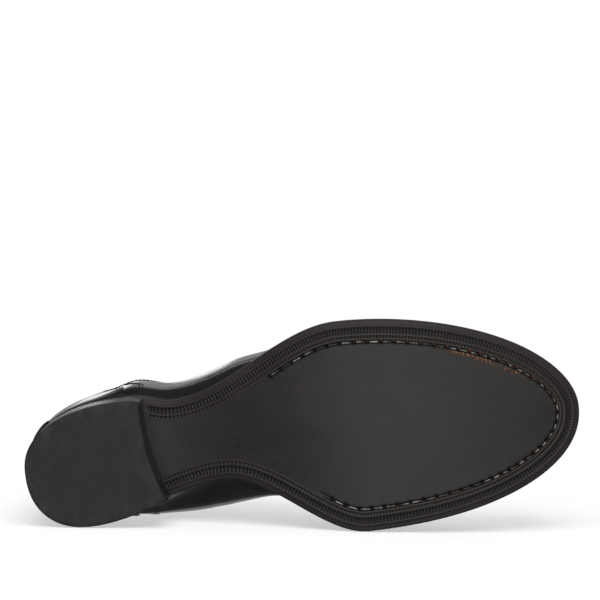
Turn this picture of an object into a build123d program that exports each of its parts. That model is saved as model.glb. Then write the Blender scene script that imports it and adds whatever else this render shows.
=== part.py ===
"""Right low shoe with a leather slide sole, stitched through, and a stacked heel.

The shoe stands on its sole: X runs from the heel to the toe, Y points to the inner (medial)
side of the foot and Z is up.  Heights along the sole follow one bent profile, so every layer
of the bottom is the same profile at its own lift.  The upper is made of thin layers between
nested skins that grow outwards from the space that the foot fills.
"""
import os
from math import asin, atan2, cos, degrees, pi, sin

from build123d import *

os.makedirs("parts", exist_ok=True)

# Plan of the outsole
sole_length = 300.0
heel_reach = {"medial": 32.6, "lateral": 32.8}
waist_reach = {"medial": 18.0, "lateral": 28.0}
ball_reach = {"medial": 52.8, "lateral": 61.2}
# Where a last is fullest and slimmest, as shares of its length, and how blunt its ends are
heel_at = {"medial": 0.11, "lateral": 0.19}
waist_at = {"medial": 0.353, "lateral": 0.27}
ball_at = {"medial": 0.60, "lateral": 0.583}
heel_blunt = 2.3
toe_blunt = {"medial": 2.2, "lateral": 1.85}

# Profile of the outsole
heel_height = 24.0
toe_spring = 12.0
tread_start_at = 0.62
tread_end_at = 0.69

# Layers of the bottom, from the ground up
top_piece_thickness = 7.0
heel_lift_count = 3
heel_taper = 0.4
breast_lateral_x = 66.0
breast_medial_x = 74.5
breast_bow = 3.2
outsole_thickness = 5.0
midsole_thickness = 3.0
midsole_step = 0.6
filler_thickness = 2.2
insole_thickness = 2.4
sock_thickness = 1.0
layer_gap = 0.3

# Sole stitching
stitch_inset = 12.0
stitch_pitch = 7.4
stitch_length = 5.0
thread_width = 1.1
channel_width = 2.1
channel_depth = 1.4
seam_lateral_x = 136.0
seam_medial_x = 158.0

# Steel shank and heel nails
shank_width = 14.0
shank_start = 48.0
shank_end = 142.0
shank_thickness = 1.6
nail_diameter = 1.8
nail_ring_inset = 13.0
nail_count = 9

# Upper: how far its foot stands in from the sole's edge, and how far it swells beyond that
forepart_margin = 4.6
waist_margin = 0.8
heel_margin = 1.6
arch_swell = {"medial": 16.5, "lateral": 3.0}
forepart_swell = 1.8
heel_swell = 1.5
# Heights above the sole's top
back_height = 62.0
ankle_height = 47.0
instep_height = 92.0
toe_box_height = 31.0
leg_height = 118.0
skirt = 5.0
# Layers of the upper, from the foot outwards
lining_thickness = 1.2
stiffener_thickness = 0.9
leather_thickness = 1.5
overlay_thickness = 1.3
strip_thickness = 1.2
# Panels
ankle_x = 58.0
throat_top_x = 104.0
throat_end_x = 170.0
throat_width = 15.0
throat_end_width = 9.0
vamp_seam_top_x = 168.0
vamp_seam_foot_x = 138.0
toe_cap_length = 64.0
toe_cap_bow = 140.0
toe_puff_length = 58.0
counter_length = 78.0
heel_cover_length = 55.0
facing_width = 23.0
facing_drop = 32.0
facing_rear = 8.0
back_strip_width = 17.0
collar_band_height = 8.0
toe_curve = 30.0
ridge_shift = 6.0

# Tongue, from the outside in
tongue_clearance = 1.0
tongue_leather = 1.2
tongue_pad = 2.2
tongue_backing = 0.9
tongue_width = 46.0
tongue_drop = 40.0
tongue_rise = 16.0
tongue_root = 6.0

# Eyelets
eyelet_pairs = 5
eyelet_first_back = 9.0
eyelet_last_back = 8.0
eyelet_edge_distance = 9.0
eyelet_bore = 4.0
eyelet_wall = 0.35
eyelet_flange = 7.6
eyelet_flange_thickness = 0.5
eyelet_clearance = 0.15
eyelet_seat = 0.6

# Shape of the upper between its panels
toe_round = 2.4
instep_climb = 1.35
swell_share = 0.45
lowest_ridge = 4.0
facing_tail = 12.0
heel_cover_foot = 3.0
strip_flare_height = 34.0
tongue_corner = 14.0
filler_gap = 6.0
thread_sink = 0.15

SIDES = {"medial": 1.0, "lateral": -1.0}
FAR = 400.0
STANDING = (Align.CENTER, Align.CENTER, Align.MIN)


def smooth(t):
    """Ease from 0 to 1 with flat ends."""
    t = min(max(t, 0.0), 1.0)
    return t * t * (3.0 - 2.0 * t)


def mix(a, b, t):
    return a + (b - a) * t


# ---------------------------------------------------------------- plan and profile of the sole

def reach(side, x, inset=0.0):
    """Distance from the centre line to the sole's edge, moved in by inset."""
    heel_x = heel_at[side] * sole_length
    waist_x = waist_at[side] * sole_length
    ball_x = ball_at[side] * sole_length
    if x < heel_x:
        t = min((heel_x - x) / (heel_x - inset), 1.0)
        return (heel_reach[side] - inset) * (1.0 - t**heel_blunt) ** (1.0 / heel_blunt)
    if x < waist_x:
        share = smooth((x - heel_x) / (waist_x - heel_x))
        return mix(heel_reach[side], waist_reach[side], share) - inset
    if x < ball_x:
        share = smooth((x - waist_x) / (ball_x - waist_x))
        return mix(waist_reach[side], ball_reach[side], share) - inset
    blunt = toe_blunt[side]
    t = min((x - ball_x) / (sole_length - inset - ball_x), 1.0)
    return (ball_reach[side] - inset) * (1.0 - t**blunt) ** (1.0 / blunt)


def edge_points(side, inset):
    """Points along one side of the plan, from the heel's end to the toe's end."""
    heel_x = heel_at[side] * sole_length
    waist_x = waist_at[side] * sole_length
    ball_x = ball_at[side] * sole_length
    xs = [heel_x - (heel_x - inset) * cos(a * pi / 10) for a in range(5)]
    xs += [mix(heel_x, waist_x, k / 3) for k in range(3)]
    xs += [mix(waist_x, ball_x, k / 5) for k in range(5)]
    xs += [ball_x + (sole_length - inset - ball_x) * sin(a * pi / 14) for a in range(8)]
    return [(x, SIDES[side] * reach(side, x, inset)) for x in xs]


def plan_face(inset):
    """The whole plan as a face, moved in by inset."""
    lateral = edge_points("lateral", inset)
    medial = edge_points("medial", inset)
    loop = lateral + medial[-2:0:-1]
    return make_face(Spline(*loop, periodic=True))


def plan_block(inset, low=-20.0, high=160.0):
    return extrude(Pos(0, 0, low) * plan_face(inset), high - low)


def profile(x):
    """Height of the outsole's underside."""
    breast = min(breast_lateral_x, breast_medial_x)
    tread_start = tread_start_at * sole_length
    tread_end = tread_end_at * sole_length
    if x < tread_end:
        return heel_height * (1.0 - smooth((x - breast) / (tread_start - breast)))
    return toe_spring * ((x - tread_end) / (sole_length - tread_end)) ** 2


def profile_curve(lift):
    """The underside's profile raised by lift, from behind the heel to beyond the toe."""
    breast = min(breast_lateral_x, breast_medial_x)
    tread_start = tread_start_at * sole_length
    tread_end = tread_end_at * sole_length
    waist = [mix(breast, tread_start, k / 6) for k in range(7)]
    toe = [mix(tread_end, sole_length + 12.0, k / 4) for k in range(5)]
    level = Vector(1, 0, 0)
    back = (-30.0, 0, heel_height + lift)
    seat_end = (breast, 0, heel_height + lift)
    arch = Spline(*[(x, 0, profile(x) + lift) for x in waist], tangents=(level, level))
    tread = Line(arch @ 1, (tread_end, 0, lift))
    spring = Spline(*[(x, 0, profile(x) + lift) for x in toe])
    return [Line(back, seat_end), arch, tread, spring]


def slab(low, high):
    """Everything between two lifts of the profile."""
    bottom = profile_curve(low)
    top = profile_curve(high)
    back = Line(top[0] @ 0, bottom[0] @ 0)
    front = Line(bottom[-1] @ 1, top[-1] @ 1)
    face = make_face(bottom + top + [back, front])
    return extrude(face, FAR / 2, dir=(0, 1, 0), both=True)


def box_between(x0, x1, y0=-FAR, y1=FAR, z0=-FAR, z1=FAR):
    return Pos((x0 + x1) / 2, (y0 + y1) / 2, (z0 + z1) / 2) * Box(x1 - x0, y1 - y0, z1 - z0)


def side_block(points):
    """Everything inside a closed side-view outline, all the way across."""
    face = make_face(Polyline(*[(x, 0, z) for x, z in points], close=True))
    return extrude(face, FAR / 2, dir=(0, 1, 0), both=True)


# ---------------------------------------------------------------- the bottom

sole_top = outsole_thickness + midsole_thickness
insole_low = sole_top + filler_thickness
insole_high = insole_low + insole_thickness
sock_high = insole_high + sock_thickness
upper_wall = lining_thickness + stiffener_thickness + leather_thickness
inside_inset = forepart_margin + upper_wall


def seam_path_points(inset):
    """The sole seam's path in plan: up the outer side, round the toe and back."""
    def xs(side, start):
        ball_x = ball_at[side] * sole_length
        straight = [mix(start, ball_x, k / 4) for k in range(4)] if start < ball_x else []
        toe = [ball_x + (sole_length - inset - ball_x) * sin(a * pi / 16) for a in range(9)]
        return straight + toe
    lateral = [(x, -reach("lateral", x, inset)) for x in xs("lateral", seam_lateral_x)]
    medial = [(x, reach("medial", x, inset)) for x in xs("medial", seam_medial_x)]
    return lateral + medial[-2::-1]


def make_channel():
    """The groove in the outsole that the thread lies in."""
    ring = plan_block(stitch_inset - channel_width / 2) - plan_block(stitch_inset + channel_width / 2)
    outer = box_between(seam_lateral_x - stitch_pitch, FAR, y1=0)
    inner = box_between(seam_medial_x - stitch_pitch, FAR, y0=0)
    return ring & (outer + inner) & slab(-3.0, channel_depth)


def make_stitches():
    """One short length of thread for each stitch, lying in the channel."""
    path = Spline(*seam_path_points(stitch_inset))
    count = int(path.length // stitch_pitch)
    depth = channel_depth - layer_gap
    stitches = []
    for k in range(count):
        middle = (k + 0.5) / count
        at = path @ middle
        along = path % middle
        lift = profile(at.X) + channel_depth - thread_sink - depth / 2
        slope = atan2(profile(at.X + 1.0) - profile(at.X - 1.0), 2.0)
        turn = degrees(atan2(along.Y, along.X))
        tilt = -degrees(slope) * along.X
        place = Pos(at.X, at.Y, lift) * Rot(0, 0, turn) * Rot(0, tilt, 0)
        stitches.append(place * Box(stitch_length, thread_width, depth - 2 * thread_sink))
    return Compound(stitches)


def heel_stack():
    """The whole heel, narrower at the ground, in front of its bowed breast."""
    low = plan_face(heel_taper)
    high = Pos(0, 0, heel_height) * plan_face(0.0)
    block = loft([low, high], ruled=True)
    span = ball_reach["medial"] + ball_reach["lateral"]
    bow_x = (breast_lateral_x + breast_medial_x) / 2 - breast_bow
    lateral_end = (breast_lateral_x - 1.0, -heel_reach["lateral"] - 2.0)
    medial_end = (breast_medial_x + 1.0, heel_reach["medial"] - 2.0)
    breast = ThreePointArc(lateral_end, (bow_x, 0), medial_end)
    corners = [(breast @ 1), (breast_medial_x + 1.0, span), (-FAR / 4, span), (-FAR / 4, -span),
               (breast_lateral_x - 1.0, -span), (breast @ 0)]
    face = make_face([breast, Polyline(*corners)])
    return block & extrude(Pos(0, 0, -1) * face, heel_height + 2)


def make_nails():
    """A ring of nails that holds the lifts to the outsole."""
    low = top_piece_thickness - 2.0
    high = heel_height + outsole_thickness - 1.0
    places = []
    for side in SIDES:
        back_x = nail_ring_inset
        front_x = min(breast_lateral_x, breast_medial_x) - nail_ring_inset / 2
        for k in range(nail_count // 2):
            x = mix(back_x + 4.0, front_x - 4.0, k / (nail_count // 2 - 1))
            places.append((x, SIDES[side] * reach(side, x, nail_ring_inset)))
    places.append((nail_ring_inset, 0.0))
    nail = Cylinder(nail_diameter / 2, high - low, align=STANDING)
    return [Pos(x, y, low) * nail for x, y in places]


def make_bottom():
    parts = {}
    nails = make_nails()
    outsole = plan_block(0.0) & slab(0.0, outsole_thickness)
    outsole = outsole - make_channel()
    midsole = plan_block(midsole_step) & slab(outsole_thickness, sole_top)
    inner = plan_block(inside_inset + layer_gap)
    filler_start = shank_end + filler_gap
    filler_zone = inner & slab(sole_top, insole_low)
    parts["forepart_filler"] = filler_zone & box_between(filler_start, FAR)
    shank_place = box_between(shank_start, shank_end, -shank_width / 2, shank_width / 2)
    pocket_place = box_between(shank_start - layer_gap, shank_end + layer_gap,
                               -shank_width / 2 - layer_gap, shank_width / 2 + layer_gap)
    parts["shank"] = shank_place & slab(sole_top, sole_top + shank_thickness)
    board = filler_zone & box_between(-FAR, filler_start)
    shank_pocket = pocket_place & slab(sole_top - 1.0, sole_top + shank_thickness + layer_gap)
    parts["shank_board"] = board - shank_pocket
    parts["insole"] = inner & slab(insole_low, insole_high)
    parts["sock_lining"] = plan_block(inside_inset + 2 * layer_gap) & slab(insole_high, sock_high)
    heel = heel_stack()
    for nail in nails:
        heel = heel - nail
        outsole = outsole - nail
    parts["outsole"] = outsole
    parts["midsole"] = midsole
    lift = (heel_height - top_piece_thickness) / heel_lift_count
    parts["heel_top_piece"] = heel & box_between(-FAR, FAR, z0=-1.0, z1=top_piece_thickness)
    for k in range(heel_lift_count):
        low = top_piece_thickness + k * lift
        parts[f"heel_lift_{k + 1}"] = heel & box_between(-FAR, FAR, z0=low, z1=low + lift)
    parts["heel_nails"] = Compound(nails)
    parts["sole_stitches"] = make_stitches()
    return parts


# ---------------------------------------------------------------- the upper's nested skins

heel_end = heel_margin
toe_end = sole_length - forepart_margin


def margin(side, x):
    """How far the upper's foot stands in from the sole's edge."""
    waist_x = waist_at[side] * sole_length
    ball_x = ball_at[side] * sole_length
    rear = mix(heel_margin, waist_margin, smooth(x / waist_x))
    return mix(rear, forepart_margin, smooth((x - waist_x) / (ball_x - waist_x)))


def swell(side, x):
    """How far the upper swells beyond its foot, fullest over the arch."""
    u = x / sole_length
    arch = smooth((u - 0.12) / 0.2) * (1.0 - smooth((u - 0.34) / 0.16))
    heel = heel_swell * (1.0 - smooth((u - 0.1) / 0.2))
    fore = forepart_swell * smooth((u - 0.45) / 0.15)
    return heel + arch_swell[side] * arch + fore


def ridge_height(x, grow):
    """Height of the skin's ridge above the sole's top."""
    from_toe = max(toe_end + grow - x, 0.0)
    box = toe_box_height
    if from_toe < toe_curve:
        box = toe_box_height * (1.0 - (1.0 - from_toe / toe_curve) ** toe_round) ** (1 / toe_round)
    rise_start = toe_end - toe_curve
    climb = max((rise_start - x) / (rise_start - throat_top_x), 0.0) ** instep_climb
    return max(min(box + (instep_height - toe_box_height) * climb, leg_height) + grow, lowest_ridge)


def ridge_y(x):
    """The ridge leans to the inner side over the forepart."""
    u = x / sole_length
    return ridge_shift * smooth((u - 0.2) / 0.4) * (1.0 - smooth((u - 0.75) / 0.25))


def fullness(x):
    """Roundness of the section over the swell: 2 is an ellipse, more is boxier."""
    u = x / sole_length
    rear = mix(1.6, 1.5, smooth(u / 0.35))
    fore = mix(1.8, 2.2, smooth((u - 0.62) / 0.25))
    return mix(rear, fore, smooth((u - 0.4) / 0.25))


def swell_height(x, grow):
    u = x / sole_length
    wanted = mix(mix(20.0, 30.0, smooth(u / 0.3)), 13.0, smooth((u - 0.38) / 0.25))
    return min(wanted, swell_share * ridge_height(x, grow))


def skin_point(side, x, angle, grow):
    """A point over the swell: angle 0 is the swell itself and a right angle is the ridge."""
    out = reach(side, x, margin(side, x) - grow) + swell(side, x)
    power = 2.0 / fullness(x)
    foot_z = profile(x) + sole_top
    low = foot_z + swell_height(x, grow)
    high = foot_z + ridge_height(x, grow)
    y = mix(ridge_y(x), SIDES[side] * out, max(cos(angle), 0.0) ** power)
    return Vector(x, y, mix(low, high, sin(angle) ** power))


def skin_section(x, grow):
    """One cross-section of the skin that lies grow outside the upper's outer face.

    Its foot reaches below the sole's top, deeper on an inner skin, and is trimmed later.
    """
    foot_z = profile(x) + sole_top
    hem_z = foot_z - skirt + grow
    half = {}
    for side, sign in SIDES.items():
        foot = reach(side, x, margin(side, x) - grow)
        out = foot + swell(side, x)
        low = swell_height(x, grow)
        turn = pi / 4
        half[side] = [Vector(x, sign * foot, hem_z),
                      Vector(x, sign * mix(foot, out, sin(turn)), foot_z + low * (1 - cos(turn)))]
        half[side] += [skin_point(side, x, k * pi / 8, grow) for k in range(4)]
    ridge = skin_point("medial", x, pi / 2, grow)
    over = Spline(*half["medial"], ridge, *half["lateral"][::-1])
    return make_face([over, Line(over @ 1, over @ 0)])


def skin(grow):
    """The solid inside one skin, from behind the heel to the toe."""
    start = heel_end - grow
    end = toe_end + grow
    near = [0.4, 3.0, 9.0, 20.0, 38.0]
    far = [0.4, 2.5, 7.0, 15.0, 27.0, 45.0]
    middle_start = start + near[-1]
    middle_end = end - far[-1]
    xs = [start + d for d in near]
    xs += [mix(middle_start, middle_end, k / 8) for k in range(1, 8)]
    xs += [end - d for d in far[::-1]]
    return loft([skin_section(x, grow) for x in xs])


def collar_block(drop):
    """Everything above the collar line moved down by drop."""
    seat = heel_height + sole_top
    back = seat + back_height - drop
    ankle = seat + ankle_height - drop
    throat = profile(throat_top_x) + sole_top + instep_height - drop
    climb = throat_top_x - ankle_x
    behind = [(-30, 0, back + 1.0), (2, 0, back), (ankle_x * 0.45, 0, mix(ankle, back, 0.35))]
    ahead = [(ankle_x + climb * 0.55, 0, mix(ankle, throat, 0.3)), (throat_top_x - 4.0, 0, throat - 12.0)]
    last = (throat_top_x + 1.0 + drop * 0.3, 0, throat + 30.0)
    line = Spline(*behind, (ankle_x, 0, ankle), *ahead, last)
    ceiling = Polyline(line @ 1, ((line @ 1).X, 0, FAR / 2), (-30, 0, FAR / 2), line @ 0)
    return extrude(make_face([line, ceiling]), FAR / 2, dir=(0, 1, 0), both=True)


def throat_block(widen=0.0, lengthen=0.0):
    """The slot over the tongue, seen from above, widened and lengthened by as much."""
    end = throat_end_x + lengthen
    xs = [ankle_x, throat_top_x, mix(throat_top_x, end, 0.5), end]
    wide = throat_width / 2 + widen
    narrow = throat_end_width / 2 + widen
    halves = [wide, wide, mix(wide, narrow, 0.5), narrow]
    medial = [(x, ridge_y(x) + h) for x, h in zip(xs, halves)]
    lateral = [(x, ridge_y(x) - h) for x, h in zip(xs, halves)]
    face = make_face(Polyline(*medial, *lateral[::-1], close=True))
    low = profile(end) + sole_top + swell_height(end, 0.0)
    return extrude(Pos(0, 0, low) * face, FAR / 2)


def side_zone(side):
    """Everything on one side of the ridge's line, seen from above."""
    far_y = SIDES[side] * FAR
    xs = [-FAR / 4, ankle_x, throat_top_x, mix(throat_top_x, throat_end_x, 0.5), throat_end_x, FAR / 2]
    line = [(x, ridge_y(min(max(x, 0.0), throat_end_x))) for x in xs]
    face = make_face(Polyline(*line, (xs[-1], far_y), (xs[0], far_y), close=True))
    return extrude(Pos(0, 0, -FAR / 4) * face, FAR, dir=(0, 0, 1))


def vamp_zone():
    """Everything in front of the slanted seam between the vamp and the quarters."""
    foot_z = profile(vamp_seam_foot_x) + sole_top
    top_z = profile(vamp_seam_top_x) + sole_top + ridge_height(vamp_seam_top_x, 0.0)
    slope = (vamp_seam_top_x - vamp_seam_foot_x) / (top_z - foot_z)
    low, high = foot_z - 60.0, top_z + 90.0
    return side_block([(vamp_seam_foot_x + slope * (low - foot_z), low), (FAR, low), (FAR, high),
                       (vamp_seam_foot_x + slope * (high - foot_z), high)])


def toe_zone(length, bow):
    """Everything in front of a line across the toe that bows forward."""
    x = sole_length - length
    return box_between(x - bow, FAR) - Pos(x - bow, ridge_y(x), 0) * Cylinder(bow, FAR)


def heel_cover_zone():
    """Everything behind the outer counter's slanted front edge."""
    seat = heel_height + sole_top
    front = heel_cover_length
    foot = front + heel_cover_foot
    points = [(-FAR / 4, seat - 30.0), (foot, seat - 30.0), (front, seat + 6.0),
              (front - 10.0, seat + 0.6 * ankle_height), (front - 30.0, seat + ankle_height),
              (front - 36.0, seat + back_height + 30.0), (-FAR / 4, seat + back_height + 30.0)]
    return side_block(points)


def back_strip_zone():
    """A strip up the heel's back that flares to both sides at its foot."""
    seat = heel_height + sole_top
    half = back_strip_width / 2
    foot_half = min(heel_reach.values()) - 5.0
    outline = [(half, seat + back_height + 20.0), (half, seat + strip_flare_height),
               (half + 4.0, seat + 22.0),
               (foot_half - 6.0, seat + 11.0), (foot_half, seat - 8.0)]
    right = [(0, y, z) for y, z in outline]
    left = [(0, -y, z) for y, z in outline[::-1]]
    face = make_face(Polyline(*right, *left, close=True))
    return Pos(-20, 0, 0) * extrude(face, 46.0, dir=(1, 0, 0))


def facing_zone():
    """The reinforcement along both edges of the throat, down to the vamp's seam."""
    back_x = throat_top_x - facing_rear
    xs = [mix(back_x, throat_end_x + facing_tail, k / 4) for k in range(5)]
    under = [(x, profile(x) + sole_top + ridge_height(x, 0.0) - facing_drop) for x in xs]
    zone = side_block(under + [(xs[-1], FAR / 2), (xs[0], FAR / 2)])
    return (throat_block(widen=facing_width, lengthen=facing_tail) & zone) - vamp_zone()


# ---------------------------------------------------------------- eyelets

def eyelet_places():
    """Point and outward direction of each eyelet on the facings' outer face, by side."""
    places = {}
    first = throat_top_x + eyelet_first_back
    last = throat_end_x - eyelet_last_back
    for side, sign in SIDES.items():
        places[side] = []
        for k in range(eyelet_pairs):
            x = mix(first, last, k / (eyelet_pairs - 1))
            share = (x - throat_top_x) / (throat_end_x - throat_top_x)
            half = mix(throat_width, throat_end_width, share) / 2
            away = half + eyelet_edge_distance

            def surface(at_x):
                out = reach(side, at_x, margin(side, at_x) - overlay_thickness) + swell(side, at_x)
                share = away / (out - sign * ridge_y(at_x))
                angle = pi / 2 - asin(min(share, 1.0) ** (fullness(at_x) / 2.0))
                return skin_point(side, at_x, angle, overlay_thickness), angle
            point, angle = surface(x)
            ahead, _ = surface(x + 0.5)
            above = skin_point(side, x, angle + 0.02, overlay_thickness)
            normal = (ahead - point).cross(above - point)
            if normal.Z < 0:
                normal = -normal
            places[side].append(Plane(origin=point, z_dir=normal.normalized()))
    return places


def make_eyelet(place):
    """A turned eyelet: a flange outside and a barrel through the layers outside the lining."""
    outer = eyelet_bore / 2 + eyelet_wall
    depth = overlay_thickness + leather_thickness + stiffener_thickness
    flange = Pos(0, 0, eyelet_seat) * Cylinder(eyelet_flange / 2, eyelet_flange_thickness, align=STANDING)
    barrel = Pos(0, 0, -depth) * Cylinder(outer, depth + eyelet_seat, align=STANDING)
    bore = Cylinder(eyelet_bore / 2, 4 * depth)
    return place * ((flange + barrel) - bore)


def eyelet_hole(place):
    radius = eyelet_bore / 2 + eyelet_wall + eyelet_clearance
    return place * Cylinder(radius, 4 * upper_wall)


# ---------------------------------------------------------------- the upper

def make_upper():
    parts = {}
    inner = skin(-upper_wall)
    lining_face = skin(-upper_wall + lining_thickness)
    leather_face = skin(-leather_thickness)
    outer = skin(0.0)
    overlay_face = skin(overlay_thickness)
    strip_face = skin(overlay_thickness + strip_thickness)

    collar = collar_block(0.0)
    band = collar_block(collar_band_height)
    throat = throat_block()
    front = vamp_zone()
    places = eyelet_places()
    holes = [eyelet_hole(place) for side in SIDES for place in places[side]]

    above_sole = slab(sole_top, FAR / 2)

    def layer(outside, inside):
        """The wall between two skins, with the collar and the throat cut out."""
        return ((outside - inside) & above_sole) - collar - throat

    lining = layer(lining_face, inner)
    backing = layer(leather_face, lining_face)
    leather = layer(outer, leather_face)
    overlay = layer(overlay_face, outer)
    strips = layer(strip_face, overlay_face)

    for hole in holes:
        lining = lining - hole
        backing = backing - hole
        leather = leather - hole
        overlay = overlay - hole

    split_x = vamp_seam_foot_x
    parts["vamp_lining"] = lining & box_between(split_x, FAR)
    parts["quarter_lining"] = lining & box_between(-FAR, split_x)
    puff_x = sole_length - toe_puff_length
    parts["toe_puff"] = backing & box_between(puff_x, FAR)
    parts["interlining"] = backing & box_between(counter_length, puff_x)
    parts["heel_counter"] = backing & box_between(-FAR, counter_length)
    parts["vamp"] = leather & front
    quarters = leather - front
    parts["toe_cap"] = overlay & toe_zone(toe_cap_length, toe_cap_bow)
    parts["heel_cover"] = (overlay & heel_cover_zone()) - band
    parts["collar_band"] = (overlay & band) & box_between(-FAR, throat_top_x + 20.0)
    facings = (overlay & facing_zone()) - band
    for side in SIDES:
        half = side_zone(side)
        parts[f"quarter_{side}"] = quarters & half
        parts[f"facing_{side}"] = facings & half
        parts[f"eyelets_{side}"] = Compound([make_eyelet(place) for place in places[side]])
    parts["back_strip"] = (strips & back_strip_zone()) - band
    return parts


def make_tongue():
    """The tongue's three layers, just inside the lining."""
    outside = -upper_wall - tongue_clearance
    levels = [outside, outside - tongue_leather, outside - tongue_leather - tongue_pad,
              outside - tongue_leather - tongue_pad - tongue_backing]
    skins = [skin(level) for level in levels]
    start = throat_top_x - tongue_rise
    end = throat_end_x + tongue_root
    half = tongue_width / 2
    corner = tongue_corner
    plan = [(start + corner, half), (end, half * 0.7), (end, -half * 0.7), (start + corner, -half),
            (start + 3.0, -half + 7.0), (start, -half + corner), (start, half - corner), (start + 3.0, half - 7.0)]
    face = make_face(Polyline(*[(x, y + ridge_y(x)) for x, y in plan], close=True))
    xs = [mix(start - 1.0, end + 1.0, k / 4) for k in range(5)]
    under = [(x, profile(x) + sole_top + ridge_height(x, 0.0) - tongue_drop) for x in xs]
    above = side_block(under + [(xs[-1], FAR / 2), (xs[0], FAR / 2)])
    zone = extrude(face, FAR / 2) & above
    names = ["tongue", "tongue_padding", "tongue_lining"]
    return {name: (skins[k] - skins[k + 1]) & zone for k, name in enumerate(names)}


def main():
    nodes = {**make_bottom(), **make_upper(), **make_tongue()}
    whole = Compound(list(nodes.values())).bounding_box()
    middle = whole.center()
    stand = Pos(-middle.X, -middle.Y, -whole.min.Z)
    for name, shape in nodes.items():
        export_step(stand * shape, f"parts/{name}.step")
    end = throat_end_x + tongue_root
    hinge_z = profile(end) + sole_top + ridge_height(end, -upper_wall - tongue_clearance)
    print("moved by", -middle.X, -middle.Y, -whole.min.Z)
    print("tongue hinge at", end - middle.X, ridge_y(end) - middle.Y, hinge_z - whole.min.Z)


main()
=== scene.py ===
"""Right low shoe of black leather with a stitched slide sole: its pieces, finishes and studio."""
import random
from math import acos, asin, cos, exp, hypot, pi, radians, sin

import bmesh
import bpy
from bpy.props import FloatProperty, FloatVectorProperty, PointerProperty
from mathutils import Matrix, Vector, noise

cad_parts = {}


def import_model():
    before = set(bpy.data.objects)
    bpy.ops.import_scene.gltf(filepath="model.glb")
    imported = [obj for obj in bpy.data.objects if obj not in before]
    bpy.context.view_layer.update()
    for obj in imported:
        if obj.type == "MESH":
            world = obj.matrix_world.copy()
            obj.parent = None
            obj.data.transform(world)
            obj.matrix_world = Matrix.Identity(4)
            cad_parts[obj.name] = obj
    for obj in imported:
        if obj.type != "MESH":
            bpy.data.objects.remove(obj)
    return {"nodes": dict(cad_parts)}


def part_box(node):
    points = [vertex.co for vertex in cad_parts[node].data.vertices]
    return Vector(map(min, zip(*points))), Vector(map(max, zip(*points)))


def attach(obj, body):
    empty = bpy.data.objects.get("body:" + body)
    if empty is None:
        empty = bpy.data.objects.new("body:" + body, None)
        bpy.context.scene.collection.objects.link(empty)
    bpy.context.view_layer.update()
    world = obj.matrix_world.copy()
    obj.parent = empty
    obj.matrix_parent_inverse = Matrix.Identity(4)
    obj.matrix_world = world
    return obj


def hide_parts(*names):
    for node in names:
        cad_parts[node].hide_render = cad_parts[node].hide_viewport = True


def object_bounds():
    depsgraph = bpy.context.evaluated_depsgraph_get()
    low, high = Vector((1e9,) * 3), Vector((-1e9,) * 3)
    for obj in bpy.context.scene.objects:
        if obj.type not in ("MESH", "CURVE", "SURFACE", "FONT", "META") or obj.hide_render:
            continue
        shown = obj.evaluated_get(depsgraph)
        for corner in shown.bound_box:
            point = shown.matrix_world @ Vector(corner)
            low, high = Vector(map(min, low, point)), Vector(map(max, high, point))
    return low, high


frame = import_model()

bl_info = {
    "name": "Leather Slide Shoe",
    "version": (1, 0, 0),
    "blender": (4, 5, 0),
    "location": "3D View > Sidebar > Shoe",
    "description": "Makes the sole, heel, upper and tongue of a black leather shoe around its frame",
    "category": "Add Mesh",
}

MM = 0.001
SIDES = {"medial": 1.0, "lateral": -1.0}
CAD_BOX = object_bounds()
SOLE_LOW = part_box("outsole")[0]
HEEL_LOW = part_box("heel_top_piece")[0]
BODY = "shoe"


# ------------------------------------------------------------------ sizes and colours

class ShoeSizes(bpy.types.PropertyGroup):
    """Sizes of the sole and the upper that aren't read from the frame."""
    toe_spring: FloatProperty(name="Toe spring", default=0.012, unit="LENGTH",
                              description="Rise of the sole's tip over the ground")
    rib_depth: FloatProperty(name="Rib depth", default=0.0006, unit="LENGTH",
                             description="Depth of the grooves between the ribs")
    seam_inset: FloatProperty(name="Seam inset", default=0.012, unit="LENGTH",
                              description="Distance of the sole seam from the sole's edge")
    thread: FloatProperty(name="Sole thread", default=0.00098, unit="LENGTH",
                          description="Thickness of the sole's thread")
    collar_roll: FloatProperty(name="Collar roll", default=0.0024, unit="LENGTH",
                               description="Radius of the rolled edge round the foot opening")


class ShoeColours(bpy.types.PropertyGroup):
    """Colours of the finishes."""
    upper: FloatVectorProperty(name="Upper", subtype="COLOR", default=(0.006, 0.006, 0.0075),
                               description="Polished leather of the upper")
    sole: FloatVectorProperty(name="Sole", subtype="COLOR", default=(0.016, 0.0135, 0.0125),
                              description="Dyed leather of the sole")
    rubber: FloatVectorProperty(name="Heel rubber", subtype="COLOR", default=(0.015, 0.014, 0.0155),
                                description="Rubber of the heel's top piece")
    raw: FloatVectorProperty(name="Raw leather", subtype="COLOR", default=(0.5, 0.17, 0.04),
                             description="Undyed leather where the sole was cut")
    lining: FloatVectorProperty(name="Lining", subtype="COLOR", default=(0.30, 0.17, 0.085),
                                description="Glazed lining leather")
    thread: FloatVectorProperty(name="Thread", subtype="COLOR", default=(0.30, 0.30, 0.29),
                                description="Waxed thread of the sole seam")


def sizes():
    return bpy.context.scene.shoe_sizes


def colours():
    return bpy.context.scene.shoe_colours


# ------------------------------------------------------------------ shape of the last, in millimetres

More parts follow.
